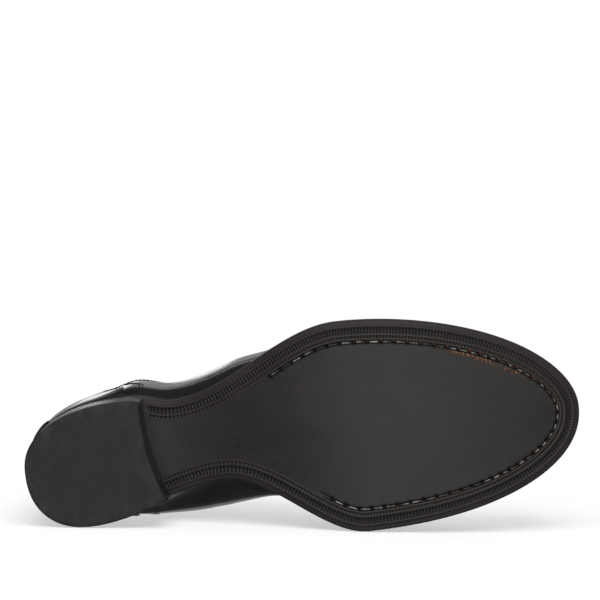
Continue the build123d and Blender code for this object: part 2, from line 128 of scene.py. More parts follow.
LENGTH = 300.0
HEEL_REACH = {"medial": 32.6, "lateral": 32.8}
WAIST_REACH = {"medial": 18.0, "lateral": 28.0}
BALL_REACH = {"medial": 52.8, "lateral": 61.2}
HEEL_X = {"medial": 33.0, "lateral": 57.0}
WAIST_X = {"medial": 105.9, "lateral": 81.0}
BALL_X = {"medial": 180.0, "lateral": 174.9}
TOE_BLUNT = {"medial": 2.2, "lateral": 1.85}
HEEL_BLUNT = 2.3
HEEL_HEIGHT = 24.0
TREAD_START, TREAD_END = 186.0, 207.0
SOLE_TOP = 8.0
BREAST_LATERAL, BREAST_MEDIAL, BREAST_BOW = 66.0, 74.5, 3.2
HEEL_TAPER = 0.4
# The upper: how far it stands in from the sole's edge, and how far it swells beyond that.
HEEL_MARGIN, WAIST_MARGIN, FORE_MARGIN = 1.6, 0.8, 4.6
HEEL_SWELL, FORE_SWELL = 1.5, 1.8
ARCH_SWELL = {"medial": 16.5, "lateral": 3.0}
TOE_END, HEEL_END = 295.4, 1.6
TOE_CURVE, TOE_ROUND, TOE_BOX = 30.0, 2.4, 31.0
INSTEP, INSTEP_CLIMB, LEG = 92.0, 1.35, 118.0
THROAT_TOP, THROAT_END = 104.0, 170.0
THROAT_HALF, THROAT_END_HALF = 7.5, 4.5
HEM_SHARE, HEM_TURN = 0.2, 0.72
WAIST_BELLY = {"medial": 2.8, "lateral": 4.2}
HEM_TUCK = {"medial": 6.4, "lateral": 0.0}


def smooth(t):
    t = min(max(t, 0.0), 1.0)
    return t * t * (3.0 - 2.0 * t)


def mix(a, b, t):
    return a + (b - a) * t


def world(x, y, z):
    """From the last's millimetres to the frame."""
    return Vector((SOLE_LOW[0] + x * MM, SOLE_LOW[1] + (BALL_REACH["lateral"] + y) * MM,
                   HEEL_LOW[2] + z * MM))


def reach(side, x, inset=0.0):
    """Distance from the centre line to the sole's edge, moved in by inset."""
    heel_x, waist_x, ball_x = HEEL_X[side], WAIST_X[side], BALL_X[side]
    if x < heel_x:
        t = min(max((heel_x - x) / (heel_x - inset), 0.0), 1.0)
        return (HEEL_REACH[side] - inset) * (1.0 - t**HEEL_BLUNT) ** (1.0 / HEEL_BLUNT)
    if x < waist_x:
        t = smooth((x - heel_x) / (waist_x - heel_x))
        return mix(HEEL_REACH[side], WAIST_REACH[side], t) - inset
    if x < ball_x:
        t = smooth((x - waist_x) / (ball_x - waist_x))
        return mix(WAIST_REACH[side], BALL_REACH[side], t) - inset
    blunt = TOE_BLUNT[side]
    t = min((x - ball_x) / (LENGTH - inset - ball_x), 1.0)
    return (BALL_REACH[side] - inset) * (1.0 - t**blunt) ** (1.0 / blunt)


def profile(x):
    """Height of the outsole's underside."""
    if x < TREAD_END:
        return HEEL_HEIGHT * (1.0 - smooth((x - BREAST_LATERAL) / (TREAD_START - BREAST_LATERAL)))
    return sizes().toe_spring / MM * ((x - TREAD_END) / (LENGTH - TREAD_END)) ** 2


def margin(side, x):
    """How far the upper's foot stands in from the sole's edge."""
    rear = mix(HEEL_MARGIN, WAIST_MARGIN, smooth(x / WAIST_X[side]))
    return mix(rear, FORE_MARGIN, smooth((x - WAIST_X[side]) / (BALL_X[side] - WAIST_X[side])))


def swell(side, x):
    """How far the upper bulges beyond its foot."""
    u = x / LENGTH
    arch = smooth((u - 0.12) / 0.2) * (1.0 - smooth((u - 0.34) / 0.16))
    heel = HEEL_SWELL * (1.0 - smooth((u - 0.1) / 0.2))
    return heel + ARCH_SWELL[side] * arch + FORE_SWELL * smooth((u - 0.45) / 0.15)


def waist_fullness(side, x, w):
    """How much the finished leather bellies out low in the waist."""
    u = x / LENGTH
    along = smooth((u - 0.12) / 0.1) * (1.0 - smooth((u - 0.38) / 0.1))
    return WAIST_BELLY[side] * along * smooth(w / 0.08) * (1.0 - smooth((w - 0.25) / 0.4))


def ridge_height(x, grow):
    """Height of the upper's ridge over the sole's top."""
    from_toe = max(TOE_END + grow - x, 0.0)
    box = TOE_BOX
    if from_toe < TOE_CURVE:
        box = TOE_BOX * (1.0 - (1.0 - from_toe / TOE_CURVE) ** TOE_ROUND) ** (1 / TOE_ROUND)
    rise_start = TOE_END - TOE_CURVE
    climb = max((rise_start - x) / (rise_start - THROAT_TOP), 0.0) ** INSTEP_CLIMB
    return max(min(box + (INSTEP - TOE_BOX) * climb, LEG) + grow, 4.0)


def ridge_y(x):
    """The ridge's shift towards the inner side."""
    u = x / LENGTH
    return 6.0 * smooth((u - 0.2) / 0.4) * (1.0 - smooth((u - 0.75) / 0.25))


def fullness(x):
    """Exponent of the rounded section above the swell."""
    u = x / LENGTH
    rear = mix(1.6, 1.5, smooth(u / 0.35))
    return mix(rear, mix(1.8, 2.2, smooth((u - 0.62) / 0.25)), smooth((u - 0.4) / 0.25))


def swell_height(x, grow):
    """Height of the widest line over the sole's top."""
    u = x / LENGTH
    wanted = mix(mix(20.0, 30.0, smooth(u / 0.3)), 13.0, smooth((u - 0.38) / 0.25))
    return min(wanted, 0.45 * ridge_height(x, grow))


def skin(side, x, w, grow):
    """A point of the upper: w is 0 at the sole, HEM_SHARE at the swell and 1 on the ridge."""
    foot = reach(side, x, margin(side, x) - grow)
    out = foot + swell(side, x)
    foot_z = profile(x) + SOLE_TOP
    low, high = swell_height(x, grow), ridge_height(x, grow)
    if w < HEM_SHARE:
        a = w / HEM_SHARE * pi / 2
        away = mix(foot, out, max(sin(a), 0.0) ** HEM_TURN) + waist_fullness(side, x, w)
        tuck = HEM_TUCK[side] * smooth((x - 46.0) / 22.0) * (1.0 - smooth((x - 112.0) / 24.0))
        away = max(away, foot + tuck * smooth(w / 0.02))
        under = 0.08 * tuck * (1.0 - smooth((w - 0.02) / 0.03))
        return x, SIDES[side] * away, foot_z + low * (1 - cos(a)) - under
    a = (w - HEM_SHARE) / (1 - HEM_SHARE) * pi / 2
    power = 2.0 / fullness(x)
    y = mix(ridge_y(x), SIDES[side] * out, max(cos(a), 0.0) ** power)
    return x, y + SIDES[side] * waist_fullness(side, x, w), foot_z + mix(low, high, sin(a) ** power)


def w_at_height(side, x, z, grow):
    """The share of the way up the skin at which it is z high."""
    foot_z = profile(x) + SOLE_TOP
    low, high = swell_height(x, grow), ridge_height(x, grow)
    h = z - foot_z
    if h <= low:
        return HEM_SHARE * acos(min(max(1 - h / low, -1.0), 1.0)) / (pi / 2)
    t = min((h - low) / (high - low), 1.0)
    return HEM_SHARE + (1 - HEM_SHARE) * asin(t ** (fullness(x) / 2)) / (pi / 2)


def w_at_offset(side, x, away, grow):
    """The share of the way up at which the skin is away from its ridge line."""
    out = reach(side, x, margin(side, x) - grow) + swell(side, x)
    t = min(max(away / (out - SIDES[side] * ridge_y(x)), 0.0), 1.0)
    return HEM_SHARE + (1 - HEM_SHARE) * acos(t ** (fullness(x) / 2)) / (pi / 2)


COLLAR_KNOTS = [(-6.0, 94.5), (2.0, 94.0), (26.0, 84.2), (58.0, 79.0), (83.3, 88.5), (98.0, 101.5),
                (104.0, 116.0), (106.0, 140.0)]


def collar_z(x):
    """Height of the collar's edge, a smooth curve through its knots."""
    knots = COLLAR_KNOTS
    for k in range(1, len(knots)):
        if x <= knots[k][0] or k == len(knots) - 1:
            break
    (x0, z0), (x1, z1) = knots[k - 1], knots[k]
    before = knots[max(k - 2, 0)]
    after = knots[min(k + 1, len(knots) - 1)]
    slope0 = (z1 - before[1]) / (x1 - before[0])
    slope1 = (after[1] - z0) / (after[0] - x0)
    t = min(max((x - x0) / (x1 - x0), 0.0), 1.0)
    span = x1 - x0
    return ((2 * t**3 - 3 * t**2 + 1) * z0 + (t**3 - 2 * t**2 + t) * span * slope0
            + (3 * t**2 - 2 * t**3) * z1 + (t**3 - t**2) * span * slope1)


def throat_half(x):
    """Half the throat's width."""
    return mix(THROAT_HALF, THROAT_END_HALF, smooth((x - THROAT_TOP) / (THROAT_END - THROAT_TOP)))


def w_top(side, x, grow, drop=0.0):
    """Upper edge of the quarters: the collar, then the edge of the throat."""
    at_collar = w_at_height(side, x, collar_z(x) - drop, grow)
    if x < THROAT_TOP - 12.0:
        return at_collar
    return min(at_collar, w_at_offset(side, x, throat_half(x) + 0.15 * drop, grow))


VAMP_SEAM = {"x": 138.0, "z": 16.5, "lean": 30.0 / 54.0}


def seam_x(z):
    """The slanted seam between the vamp and the quarters."""
    return VAMP_SEAM["x"] + (z - VAMP_SEAM["z"]) * VAMP_SEAM["lean"]


# ------------------------------------------------------------------ mesh and piece helpers

def finish_piece(name, bm, material, body=BODY, replaces=(), smooth_faces=True):
    """Makes an object of the mesh and puts it on its body."""
    for face in bm.faces:
        face.smooth = smooth_faces
    mesh = bpy.data.meshes.new(name)
    bm.to_mesh(mesh)
    bm.free()
    mesh.materials.append(material)
    piece = bpy.data.objects.new(name, mesh)
    bpy.context.scene.collection.objects.link(piece)
    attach(piece, body)
    if replaces:
        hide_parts(*replaces)
    return piece


def patch(place, across, along):
    """A sheet of across by along faces, with place(u, v) giving each corner in the frame."""
    bm = bmesh.new()
    bmesh.ops.create_grid(bm, x_segments=across, y_segments=along, size=0.5)
    for vert in bm.verts:
        vert.co = place(min(max(vert.co.x + 0.5, 0.0), 1.0), min(max(vert.co.y + 0.5, 0.0), 1.0))
    return bm


def face_outwards(bm, middle):
    """Turns an open sheet's faces away from middle(x), the core of the shoe there."""
    bm.normal_update()
    lean = 0.0
    for face in bm.faces:
        centre = face.calc_center_median()
        lean += face.normal.dot(centre - middle(centre)) * face.calc_area()
    if lean < 0:
        bmesh.ops.reverse_faces(bm, faces=bm.faces)


def core(point):
    """A point inside the shoe, level with point along its length."""
    x = (point.x - SOLE_LOW[0]) / MM
    x = min(max(x, 22.0), 262.0)
    lift = 16.0 + 22.0 * (1.0 - smooth((x - 60.0) / 160.0))
    return world(x, ridge_y(x), profile(x) + SOLE_TOP + lift)


def add_wall(piece, thickness):
    """Gives a sheet its thickness, behind its outer face."""
    wall = piece.modifiers.new("wall", "SOLIDIFY")
    wall.thickness = thickness
    wall.offset = -1.0
    wall.use_quality_normals = True


def add_soft_edges(piece, width):
    """Rounds the sharp edges a little."""
    edge = piece.modifiers.new("soft_edges", "BEVEL")
    edge.width = width
    edge.segments = 2
    edge.limit_method = "ANGLE"
    edge.angle_limit = radians(50)
    edge.harden_normals = False


# ------------------------------------------------------------------ shader helpers

class Wire:
    """A socket that can be added, multiplied and so on."""

    def __init__(self, tree, socket):
        self.tree = tree
        self.socket = socket

    def math(self, operation, other, swap=False):
        values = [other, self] if swap else [self, other]
        return self.tree.node("ShaderNodeMath", {"operation": operation}, {0: values[0], 1: values[1]})

    def __add__(self, other):
        return self.math("ADD", other)

    def __sub__(self, other):
        return self.math("SUBTRACT", other)

    def __mul__(self, other):
        return self.math("MULTIPLY", other)

    def __rsub__(self, other):
        return self.math("SUBTRACT", other, swap=True)

    __radd__ = __add__
    __rmul__ = __mul__

    def clamp(self):
        return self.tree.node("ShaderNodeClamp", {}, {"Value": self})

    def ramp(self, low, high):
        """0 below low, 1 above high."""
        inputs = {"Value": self, "From Min": low, "From Max": high}
        return self.tree.node("ShaderNodeMapRange", {}, inputs)


class Finish:
    """A material with one Principled shader, built from a few calls."""

    def __init__(self, name, **uniform):
        self.material = bpy.data.materials.new(name)
        self.material.use_nodes = True
        self.nodes = self.material.node_tree.nodes
        self.links = self.material.node_tree.links
        self.shader = self.nodes["Principled BSDF"]
        for key, value in uniform.items():
            socket = key.replace("_", " ").title().replace("Ior", "IOR")
            self.shader.inputs[socket].default_value = value

    def node(self, kind, settings, inputs, output=0):
        node = self.nodes.new(kind)
        for key, value in settings.items():
            setattr(node, key, value)
        for key, value in inputs.items():
            socket = node.inputs[key]
            if isinstance(value, Wire):
                self.links.new(value.socket, socket)
            else:
                socket.default_value = value
        return Wire(self, node.outputs[output])

    def place(self):
        return self.node("ShaderNodeTexCoord", {}, {}, "Object")

    def stretch(self, scale):
        return self.node("ShaderNodeMapping", {}, {"Vector": self.place(), "Scale": scale}, "Vector")

    def noise(self, scale, detail=4.0, rough=0.55, vector=None):
        inputs = {"Vector": vector or self.place(), "Scale": scale, "Detail": detail, "Roughness": rough}
        return self.node("ShaderNodeTexNoise", {}, inputs, "Fac")

    def cells(self, scale):
        inputs = {"Vector": self.place(), "Scale": scale}
        return self.node("ShaderNodeTexVoronoi", {}, inputs, "Distance")

    def attribute(self, name):
        return self.node("ShaderNodeAttribute", {"attribute_name": name}, {}, "Fac")

    def blend(self, factor, first, second):
        """Mixes two colours."""
        node = self.nodes.new("ShaderNodeMix")
        node.data_type = "RGBA"
        for key, value in (("Factor", factor), ("A", first), ("B", second)):
            socket = [s for s in node.inputs if s.name == key and s.enabled][0]
            if isinstance(value, Wire):
                self.links.new(value.socket, socket)
            elif key == "Factor":
                socket.default_value = value
            else:
                socket.default_value = (*value[:3], 1.0)
        return Wire(self, [s for s in node.outputs if s.enabled][0])

    def colour(self, value):
        self.feed("Base Color", value)

    def feed(self, name, value):
        self.links.new(value.socket, self.shader.inputs[name])

    def bump(self, height, strength, distance=0.0002):
        inputs = {"Strength": strength, "Distance": distance, "Height": height}
        self.feed("Normal", self.node("ShaderNodeBump", {}, inputs, "Normal"))


def shade(colour, factor):
    return tuple(c * factor for c in colour)


def upper_leather():
    """Polished calf: a fine grain, a little waviness and wax that varies."""
    f = Finish("polished_calf", specular_ior_level=0.5, coat_roughness=0.09, coat_ior=1.5)
    base = colours().upper
    cloud = f.noise(38.0, 3.0)
    f.colour(f.blend(cloud.ramp(0.3, 0.75), shade(base, 0.75), shade(base, 1.5)))
    f.feed("Roughness", f.noise(160.0, 4.0).ramp(0.25, 0.8) * 0.12 + 0.27)
    f.feed("Coat Weight", f.noise(55.0, 2.0).ramp(0.2, 0.7) * 0.25 + 0.55)
    grain = f.cells(1500.0) * 0.5 + f.noise(900.0, 3.0) * 0.35
    f.bump(grain + f.noise(120.0, 2.0) * 0.9, 0.16, 0.00025)
    return f.material


def sole_leather():
    """Dyed and burnished sole leather with raw leather where the attribute says so, painted shade and
    highlights.
    """
    f = Finish("sole_leather", specular_ior_level=0.5, coat_roughness=0.32)
    base = colours().sole
    cloud = f.noise(24.0, 4.0, 0.6)
    streak = f.noise(90.0, 3.0, 0.6, f.stretch((0.35, 1.6, 1.0)))
    speck = f.noise(1100.0, 2.0)
    dye_and_painted_light = f.blend(cloud.ramp(0.3, 0.75), shade(base, 0.8), shade(base, 1.45))
    dye_and_painted_light = f.blend((streak.ramp(0.55, 0.9)) * 0.5, dye_and_painted_light, shade(base, 1.9))
    # Painted highlight: the sole's side and rounded edge are coloured lighter, fading out over 6 mm
    # inwards.
    edge = 1 - f.attribute("inset").ramp(0.0, 0.006)
    dye_and_painted_light = f.blend(edge * 0.35, dye_and_painted_light, shade(base, 1.7))
    # Painted highlight: raised ribs, the ground between the pits and the raised beads are coloured
    # lighter.
    dye_and_painted_light = f.blend(f.attribute("ridge") * 0.55, dye_and_painted_light, shade(base, 2.6))
    # Painted shade: rib grooves, pits, the seam channel and its needle holes are coloured darker.
    dye_and_painted_light = f.blend(f.attribute("painted_recess_shade") * 0.92, dye_and_painted_light, shade(base, 0.12))
    raw = f.attribute("raw")
    fibre = f.noise(1700.0, 3.0).ramp(0.35, 0.7)
    torn = f.blend(fibre, shade(colours().raw, 0.22), colours().raw)
    f.colour(f.blend((raw * 1.35 - 0.3 + fibre * 0.35 * raw).clamp(), dye_and_painted_light, torn))
    f.feed("Roughness", (cloud.ramp(0.3, 0.8) * 0.14 + speck * 0.08 + 0.40 + raw * 0.3).clamp())
    f.feed("Coat Weight", ((1 - raw.ramp(0.0, 0.4)) * 0.22 * cloud.ramp(0.2, 0.9)).clamp())
    f.bump(speck * 0.5 + f.cells(850.0) * 0.35 + streak * 0.5 + f.noise(140.0, 3.0) * 1.2, 0.22, 0.0003)
    return f.material


def edge_leather():
    """Inked and ironed edge of the sole and the heel's lifts."""
    f = Finish("edge_ink", coat_roughness=0.12, coat_weight=0.5)
    base = shade(colours().sole, 0.55)
    layers = f.noise(260.0, 3.0, 0.6, f.stretch((0.25, 0.25, 7.0)))
    f.colour(f.blend(layers.ramp(0.3, 0.8), shade(base, 0.7), shade(base, 1.5)))
    f.feed("Roughness", f.noise(210.0, 3.0).ramp(0.2, 0.8) * 0.14 + 0.24)
    f.bump(layers * 0.5 + f.noise(700.0, 2.0) * 0.3, 0.14, 0.0002)
    return f.material


def heel_rubber():
    """Fine matt rubber with paler scuffs towards its rim."""
    f = Finish("heel_rubber", specular_ior_level=0.42)
    base = colours().rubber
    cloud = f.noise(32.0, 4.0, 0.65)
    scuff = f.noise(150.0, 5.0, 0.7, f.stretch((1.0, 0.45, 1.0)))
    rim = 1 - f.attribute("inset").ramp(0.001, 0.013)
    worn = (scuff.ramp(0.45, 0.75) * rim * 1.1).clamp()
    tone = f.blend(cloud.ramp(0.3, 0.75), shade(base, 0.8), shade(base, 1.35))
    f.colour(f.blend(worn * 0.7, tone, (0.047, 0.045, 0.043)))
    f.feed("Roughness", (0.50 + cloud * 0.1 + worn * 0.12).clamp())
    f.bump(f.noise(1400.0, 2.0) * 0.5 + scuff * 0.8 + f.cells(420.0) * 0.2, 0.2, 0.00025)
    return f.material


def lining_leather():
    """Tan glazed lining leather with pores."""
    f = Finish("lining_leather", specular_ior_level=0.4)
    base = colours().lining
    cloud = f.noise(45.0, 4.0)
    f.colour(f.blend(cloud.ramp(0.3, 0.75), shade(base, 0.78), shade(base, 1.15)))
    f.feed("Roughness", f.noise(230.0, 3.0) * 0.2 + 0.42)
    f.bump(f.cells(1100.0) * 0.6 + f.noise(300.0, 3.0) * 0.5, 0.25, 0.00025)
    return f.material


def waxed_thread():
    """Waxed linen thread, twisted and dulled in places."""
    f = Finish("waxed_thread", specular_ior_level=0.6)
    base = colours().thread
    dirt = f.noise(170.0, 3.0)
    twist = f.noise(2400.0, 2.0)
    f.colour(f.blend(dirt.ramp(0.44, 0.66), shade(base, 0.1), shade(base, 0.8)))
    f.feed("Roughness", dirt * 0.2 + 0.28)
    f.bump(twist, 0.3, 0.0002)
    return f.material


def black_thread():
    f = Finish("black_thread", specular_ior_level=0.5)
    f.colour(f.blend(f.noise(900.0, 2.0), (0.01, 0.01, 0.011), (0.03, 0.03, 0.032)))
    f.feed("Roughness", f.noise(700.0, 2.0) * 0.2 + 0.4)
    f.bump(f.noise(2600.0, 2.0), 0.35, 0.0002)
    return f.material


def plain_finish(name, base, rough, scale, metal=0.0, strength=0.2):
    """A finish for a hidden or small piece: mottled, with its own grain."""
    f = Finish(name, metallic=metal)
    cloud = f.noise(scale, 4.0, 0.6)
    f.colour(f.blend(cloud.ramp(0.3, 0.75), shade(base, 0.7), shade(base, 1.25)))
    f.feed("Roughness", f.noise(scale * 3.0, 3.0) * 0.18 + rough)
    f.bump(f.noise(scale * 6.0, 3.0), strength, 0.0002)
    return f.material


FINISHES = {}


def finish(name):
    """Each finish, made once."""
    makers = {
        "upper": upper_leather, "sole": sole_leather, "edge": edge_leather, "rubber": heel_rubber,
        "lining": lining_leather, "sole_thread": waxed_thread, "thread": black_thread,
        "cork": lambda: plain_finish("cork", (0.33, 0.2, 0.1), 0.7, 220.0),
        "board": lambda: plain_finish("fibre_board", (0.4, 0.32, 0.22), 0.7, 300.0),
        "cloth": lambda: plain_finish("backing_cloth", (0.6, 0.57, 0.5), 0.8, 800.0),
        "foam": lambda: plain_finish("foam", (0.62, 0.6, 0.52), 0.85, 900.0, strength=0.4),
        "steel": lambda: plain_finish("rolled_steel", (0.42, 0.42, 0.44), 0.3, 260.0, metal=1.0),
        "insole": lambda: plain_finish("insole_leather", (0.45, 0.29, 0.16), 0.6, 240.0),
        "enamel": lambda: plain_finish("black_enamel", (0.014, 0.014, 0.016), 0.18, 320.0, strength=0.08),
        "stamp": lambda: plain_finish("pressed_mark", (0.006, 0.0055, 0.0055), 0.45, 500.0),
    }
    if name not in FINISHES:
        FINISHES[name] = makers[name]()
    return FINISHES[name]


# ------------------------------------------------------------------ sole

SAMPLES = 784
OUTSOLE = 5.0
BORDER_END, BORDER_FADE = 17.0, 20.0
HOLE_SPREAD = 1.9
PIT_DEPTH = 0.5
CHANNEL_DEPTH = {"channel_edge": 0.05, "channel": 0.6, "channel_floor": 0.75}
HOLE_DEPTH = {"channel_edge": 0.5, "channel": 0.5, "channel_floor": 1.1}
SEAM_START = {"lateral": 136.0, "medial": 158.0}
LONG_PITCH, TOE_PITCH, STITCH_GAP = 7.15, 5.15, 2.1
TOP_PIECE, LIFTS = 7.0, 3


def side_walk(side, count):
    """Evenly spaced points of one side of the sole's edge, from the heel's end to the toe's end."""
    fine = 3000
    track = []
    for k in range(fine + 1):
        x = LENGTH * 0.5 * (1.0 - cos(pi * k / fine))
        track.append((x, SIDES[side] * reach(side, x)))
    lengths = [0.0]
    for (x0, y0), (x1, y1) in zip(track, track[1:]):
        lengths.append(lengths[-1] + hypot(x1 - x0, y1 - y0))
    points = []
    at = 0
    for k in range(count + 1):
        wanted = lengths[-1] * k / count
        while at < fine - 1 and lengths[at + 1] < wanted:
            at += 1
        t = (wanted - lengths[at]) / (lengths[at + 1] - lengths[at])
        points.append((mix(track[at][0], track[at + 1][0], t), mix(track[at][1], track[at + 1][1], t)))
    return points


class Edge:
    """The sole's edge as a loop of corners, each with the direction that leads inwards from it."""

    def __init__(self, half):
        lateral = side_walk("lateral", half)
        medial = side_walk("medial", half)
        self.points = lateral + medial[-2:0:-1]
        self.half = half
        count = len(self.points)
        raw = []
        for k in range(count):
            (x0, y0), (x1, y1) = self.points[k - 1], self.points[(k + 1) % count]
            size = hypot(x1 - x0, y1 - y0)
            raw.append((-(y1 - y0) / size, (x1 - x0) / size))
        spread = max(count // 130, 1)
        self.inwards = []
        for k in range(count):
            near = [raw[(k + j) % count] for j in range(-spread, spread + 1)]
            nx, ny = sum(n[0] for n in near), sum(n[1] for n in near)
            size = hypot(nx, ny)
            self.inwards.append((nx / size, ny / size))

    def at(self, k, inset):
        k %= len(self.points)
        (x, y), (nx, ny) = self.points[k], self.inwards[k]
        return x + nx * inset, y + ny * inset

    def share(self, k):
        """0 at the heel's end and 1 at the toe's end, alike on both sides."""
        k %= len(self.points)
        return (k if k <= self.half else len(self.points) - k) / self.half

    def middle(self, k):
        """A point of the sole's middle line, alike for the two sides."""
        x = mix(34.0, 258.0, self.share(k))
        lateral, medial = reach("lateral", x), reach("medial", x)
        return x, (medial - lateral) / 2

    def side(self, k):
        return "lateral" if k % len(self.points) <= self.half else "medial"


def seam_track(edge):
    """The seam's first loop position, and each stitch's middle, length along the seam and loop step."""
    inset = sizes().seam_inset / MM
    count = len(edge.points)
    first = min(k for k in range(edge.half) if edge.at(k, inset)[0] > SEAM_START["lateral"])
    last = max(k for k in range(edge.half, count) if edge.at(k, inset)[0] > SEAM_START["medial"])
    places = []
    k = float(first)
    while k < last:
        x, y = edge.at(int(k), inset)
        pitch = mix(LONG_PITCH, TOE_PITCH, smooth((x - 215.0) / 45.0))
        x1, y1 = edge.at(int(k) + 1, inset)
        step = hypot(x1 - x, y1 - y)
        places.append((k + 0.5 * pitch / step, pitch, step))
        k += pitch / step
    return first, places


def breast_x(y):
    """The heel's front at y, bowed towards the heel's end."""
    width = HEEL_REACH["lateral"] + HEEL_REACH["medial"]
    t = min(max((y + HEEL_REACH["lateral"]) / width, 0.0), 1.0)
    return mix(BREAST_LATERAL, BREAST_MEDIAL, t) - BREAST_BOW * (1.0 - (2.0 * t - 1.0) ** 2)


# Rings of the sole's underside: inset, lift of its plain parts, and what is worked into it there.
UNDERSIDE = [
    (0.0, 2.2, ""), (0.0, 1.1, ""), (0.1, 0.75, ""), (0.35, 0.45, ""), (0.8, 0.25, ""), (1.6, 0.1, ""),
    (3.2, 0.0, ""), (3.4, -0.22, ""), (3.7, -0.22, ""), (3.9, 0.0, ""),
    (4.15, 0.0, ""), (4.3, 0.0, "rib"), (5.8, 0.0, "rib"), (7.25, 0.0, "rib"), (7.4, 0.0, ""),
    (7.75, 0.05, ""), (7.95, -0.2, ""), (8.4, -0.2, ""), (8.65, 0.05, ""),
    (8.95, 0.05, ""), (9.05, 0.0, "pit"), (9.8, 0.0, "pit"), (9.95, 0.0, ""),
    (10.2, -0.14, ""), (10.6, -0.14, ""), (10.85, 0.0, ""),
    (11.0, 0.0, "channel_edge"), (11.3, 0.0, "channel"), (12.0, 0.0, "channel_floor"),
    (12.7, 0.0, "channel"), (13.0, 0.0, "channel_edge"), (13.5, 0.0, "inside"), (14.6, 0.0, "inside"),
    (BORDER_END, 0.0, ""),
]
RIB_BEAT = (0.0, 0.0, 1.0, 1.0)


def make_outsole():
    """The outsole: side, worked border, seam channel with its needle holes, and plain middle."""
    edge = Edge(SAMPLES)
    count = len(edge.points)
    first, places = seam_track(edge)
    holes = [place + 0.5 * pitch / step for place, pitch, step in places] + [float(first)]
    hole_at = {}
    for h in holes:
        for j in range(-5, 6):
            k = int(round(h)) + j
            hole_at[k % count] = max(hole_at.get(k % count, 0.0), exp(-((k - h) / HOLE_SPREAD) ** 2))
    inner = 8
    rings = [("top_middle", 0.0, 0.0, ""), ("top", 6.0, 0.0, ""), ("top", 0.4, 0.0, ""),
             ("side", 0.0, 4.3, "")]
    rings += [("under", *ring) for ring in UNDERSIDE]
    rings += [("blend", k / inner, 0.0, "") for k in range(1, inner + 1)]
    bm = bmesh.new()
    bmesh.ops.create_grid(bm, x_segments=count, y_segments=len(rings) - 1, size=0.5)
    # Vertex layers: inset from the edge, raw leather, painted shade in recesses and painted highlight on
    # raised parts.
    layers = [bm.verts.layers.float.new(name) for name in ("inset", "raw", "painted_recess_shade", "ridge")]
    rib_depth = sizes().rib_depth / MM
    for vert in bm.verts:
        k = int(round((vert.co.x + 0.5) * count)) % count
        where, inset, lift, kind = rings[int(round((vert.co.y + 0.5) * (len(rings) - 1)))]
        raw = recess_shade = pale = 0.0
        if where in ("top_middle", "blend"):
            mx, my = edge.middle(k)
            share = inset if where == "blend" else 1.0
            rx, ry = edge.at(k, BORDER_END)
            x, y = mix(rx, mx, share), mix(ry, my, share)
            z = profile(x) + (0.0 if where == "blend" else OUTSOLE)
            inset = BORDER_END + BORDER_FADE * share
        else:
            x, y = edge.at(k, inset)
            z = profile(x) + (OUTSOLE if where == "top" else 0.0) + lift
        if where == "under" and inset > 2.0:
            open_here = smooth((x - breast_x(y) - 1.0) / 3.0)
            beat = RIB_BEAT[k % 4]
            # Painted shade in the rib grooves and pits, painted highlight on the rib tops and between the
            # pits.
            if kind == "rib":
                lift += beat * rib_depth
                recess_shade, pale = 0.85 * beat, 0.35 * (1.0 - beat)
            if kind == "pit":
                lift += beat * PIT_DEPTH
                recess_shade, pale = beat, 0.6 * (1.0 - beat)
            # Painted highlight on the raised beads.
            if lift < -0.1:
                pale = 0.8
            side = edge.side(k)
            sewn = smooth((x - SEAM_START[side] + 3.0) / 4.0)
            hole = hole_at.get(k, 0.0)
            ragged = noise.noise(Vector((x * 0.35, y * 0.35, 3.0)))
            fray = noise.noise(Vector((x * 1.3, y * 1.3, 8.0)))
            upper_toe = smooth((x - 165.0) / 40.0) * (1.0 if side == "lateral" else 0.35)
            if kind.startswith("channel"):
                lift += sewn * (CHANNEL_DEPTH[kind] * (1.0 + 0.25 * ragged) + HOLE_DEPTH[kind] * hole)
                # Painted shade in the seam channel, darkest in the needle holes.
                recess_shade = sewn * min(0.55 + hole, 1.0) * (0.4 if kind == "channel_edge" else 1.0)
                if inset < 11.7:
                    raw = sewn * upper_toe * smooth((hole - 0.2) / 0.4) * smooth(1.0 + 1.2 * ragged)
                    recess_shade *= 1.0 - raw
            if kind == "inside":
                strip = smooth((x - 226.0) / 12.0) * (1.0 - smooth((x - 268.0) / 8.0))
                if side == "lateral":
                    raw = strip * smooth(fray * 1.6 + 0.35) * (0.9 if inset < 14.0 else 0.6)
                lift += sewn * 0.14 * (ragged + 0.6 * fray)
            z = profile(x) + lift * open_here
            raw, recess_shade, pale = raw * open_here, recess_shade * open_here, pale * open_here
        vert.co = world(x, y, z)
        for layer, value in zip(layers, (inset * MM, raw, recess_shade, pale)):
            vert[layer] = value
    bmesh.ops.remove_doubles(bm, verts=bm.verts, dist=1e-6)
    bmesh.ops.recalc_face_normals(bm, faces=bm.faces)
    finish_piece("sole_bottom", bm, finish("sole"), replaces=["outsole"])


def make_sole_seam():
    """The waxed stitches that lie in the sole's channel."""
    edge = Edge(SAMPLES)
    inset = sizes().seam_inset / MM
    _, places = seam_track(edge)
    chance = random.Random(11)
    bm = bmesh.new()
    for place, pitch, step in places:
        k = int(place)
        x, y = edge.at(k, inset)
        x1, y1 = edge.at(k + 2, inset)
        z, z1 = profile(x), profile(x1)
        start = world(x, y, z)
        along = (world(x1, y1, z1) - start).normalized()
        long = (pitch - STITCH_GAP) * chance.uniform(0.86, 1.04) * MM
        radius = sizes().thread / 2 * chance.uniform(0.86, 1.08)
        away = chance.uniform(-0.14, 0.14)
        sunk = chance.uniform(0.3, 0.62)
        centre = world(x, y + SIDES[edge.side(k)] * away, z + sunk)
        turn = chance.uniform(-0.05, 0.05)
        add_stitch(bm, centre, along, Vector((0.0, 0.0, 1.0)), long, radius, 9, 7, turn)
    finish_piece("sole_seam", bm, finish("sole_thread"), replaces=["sole_stitches"])


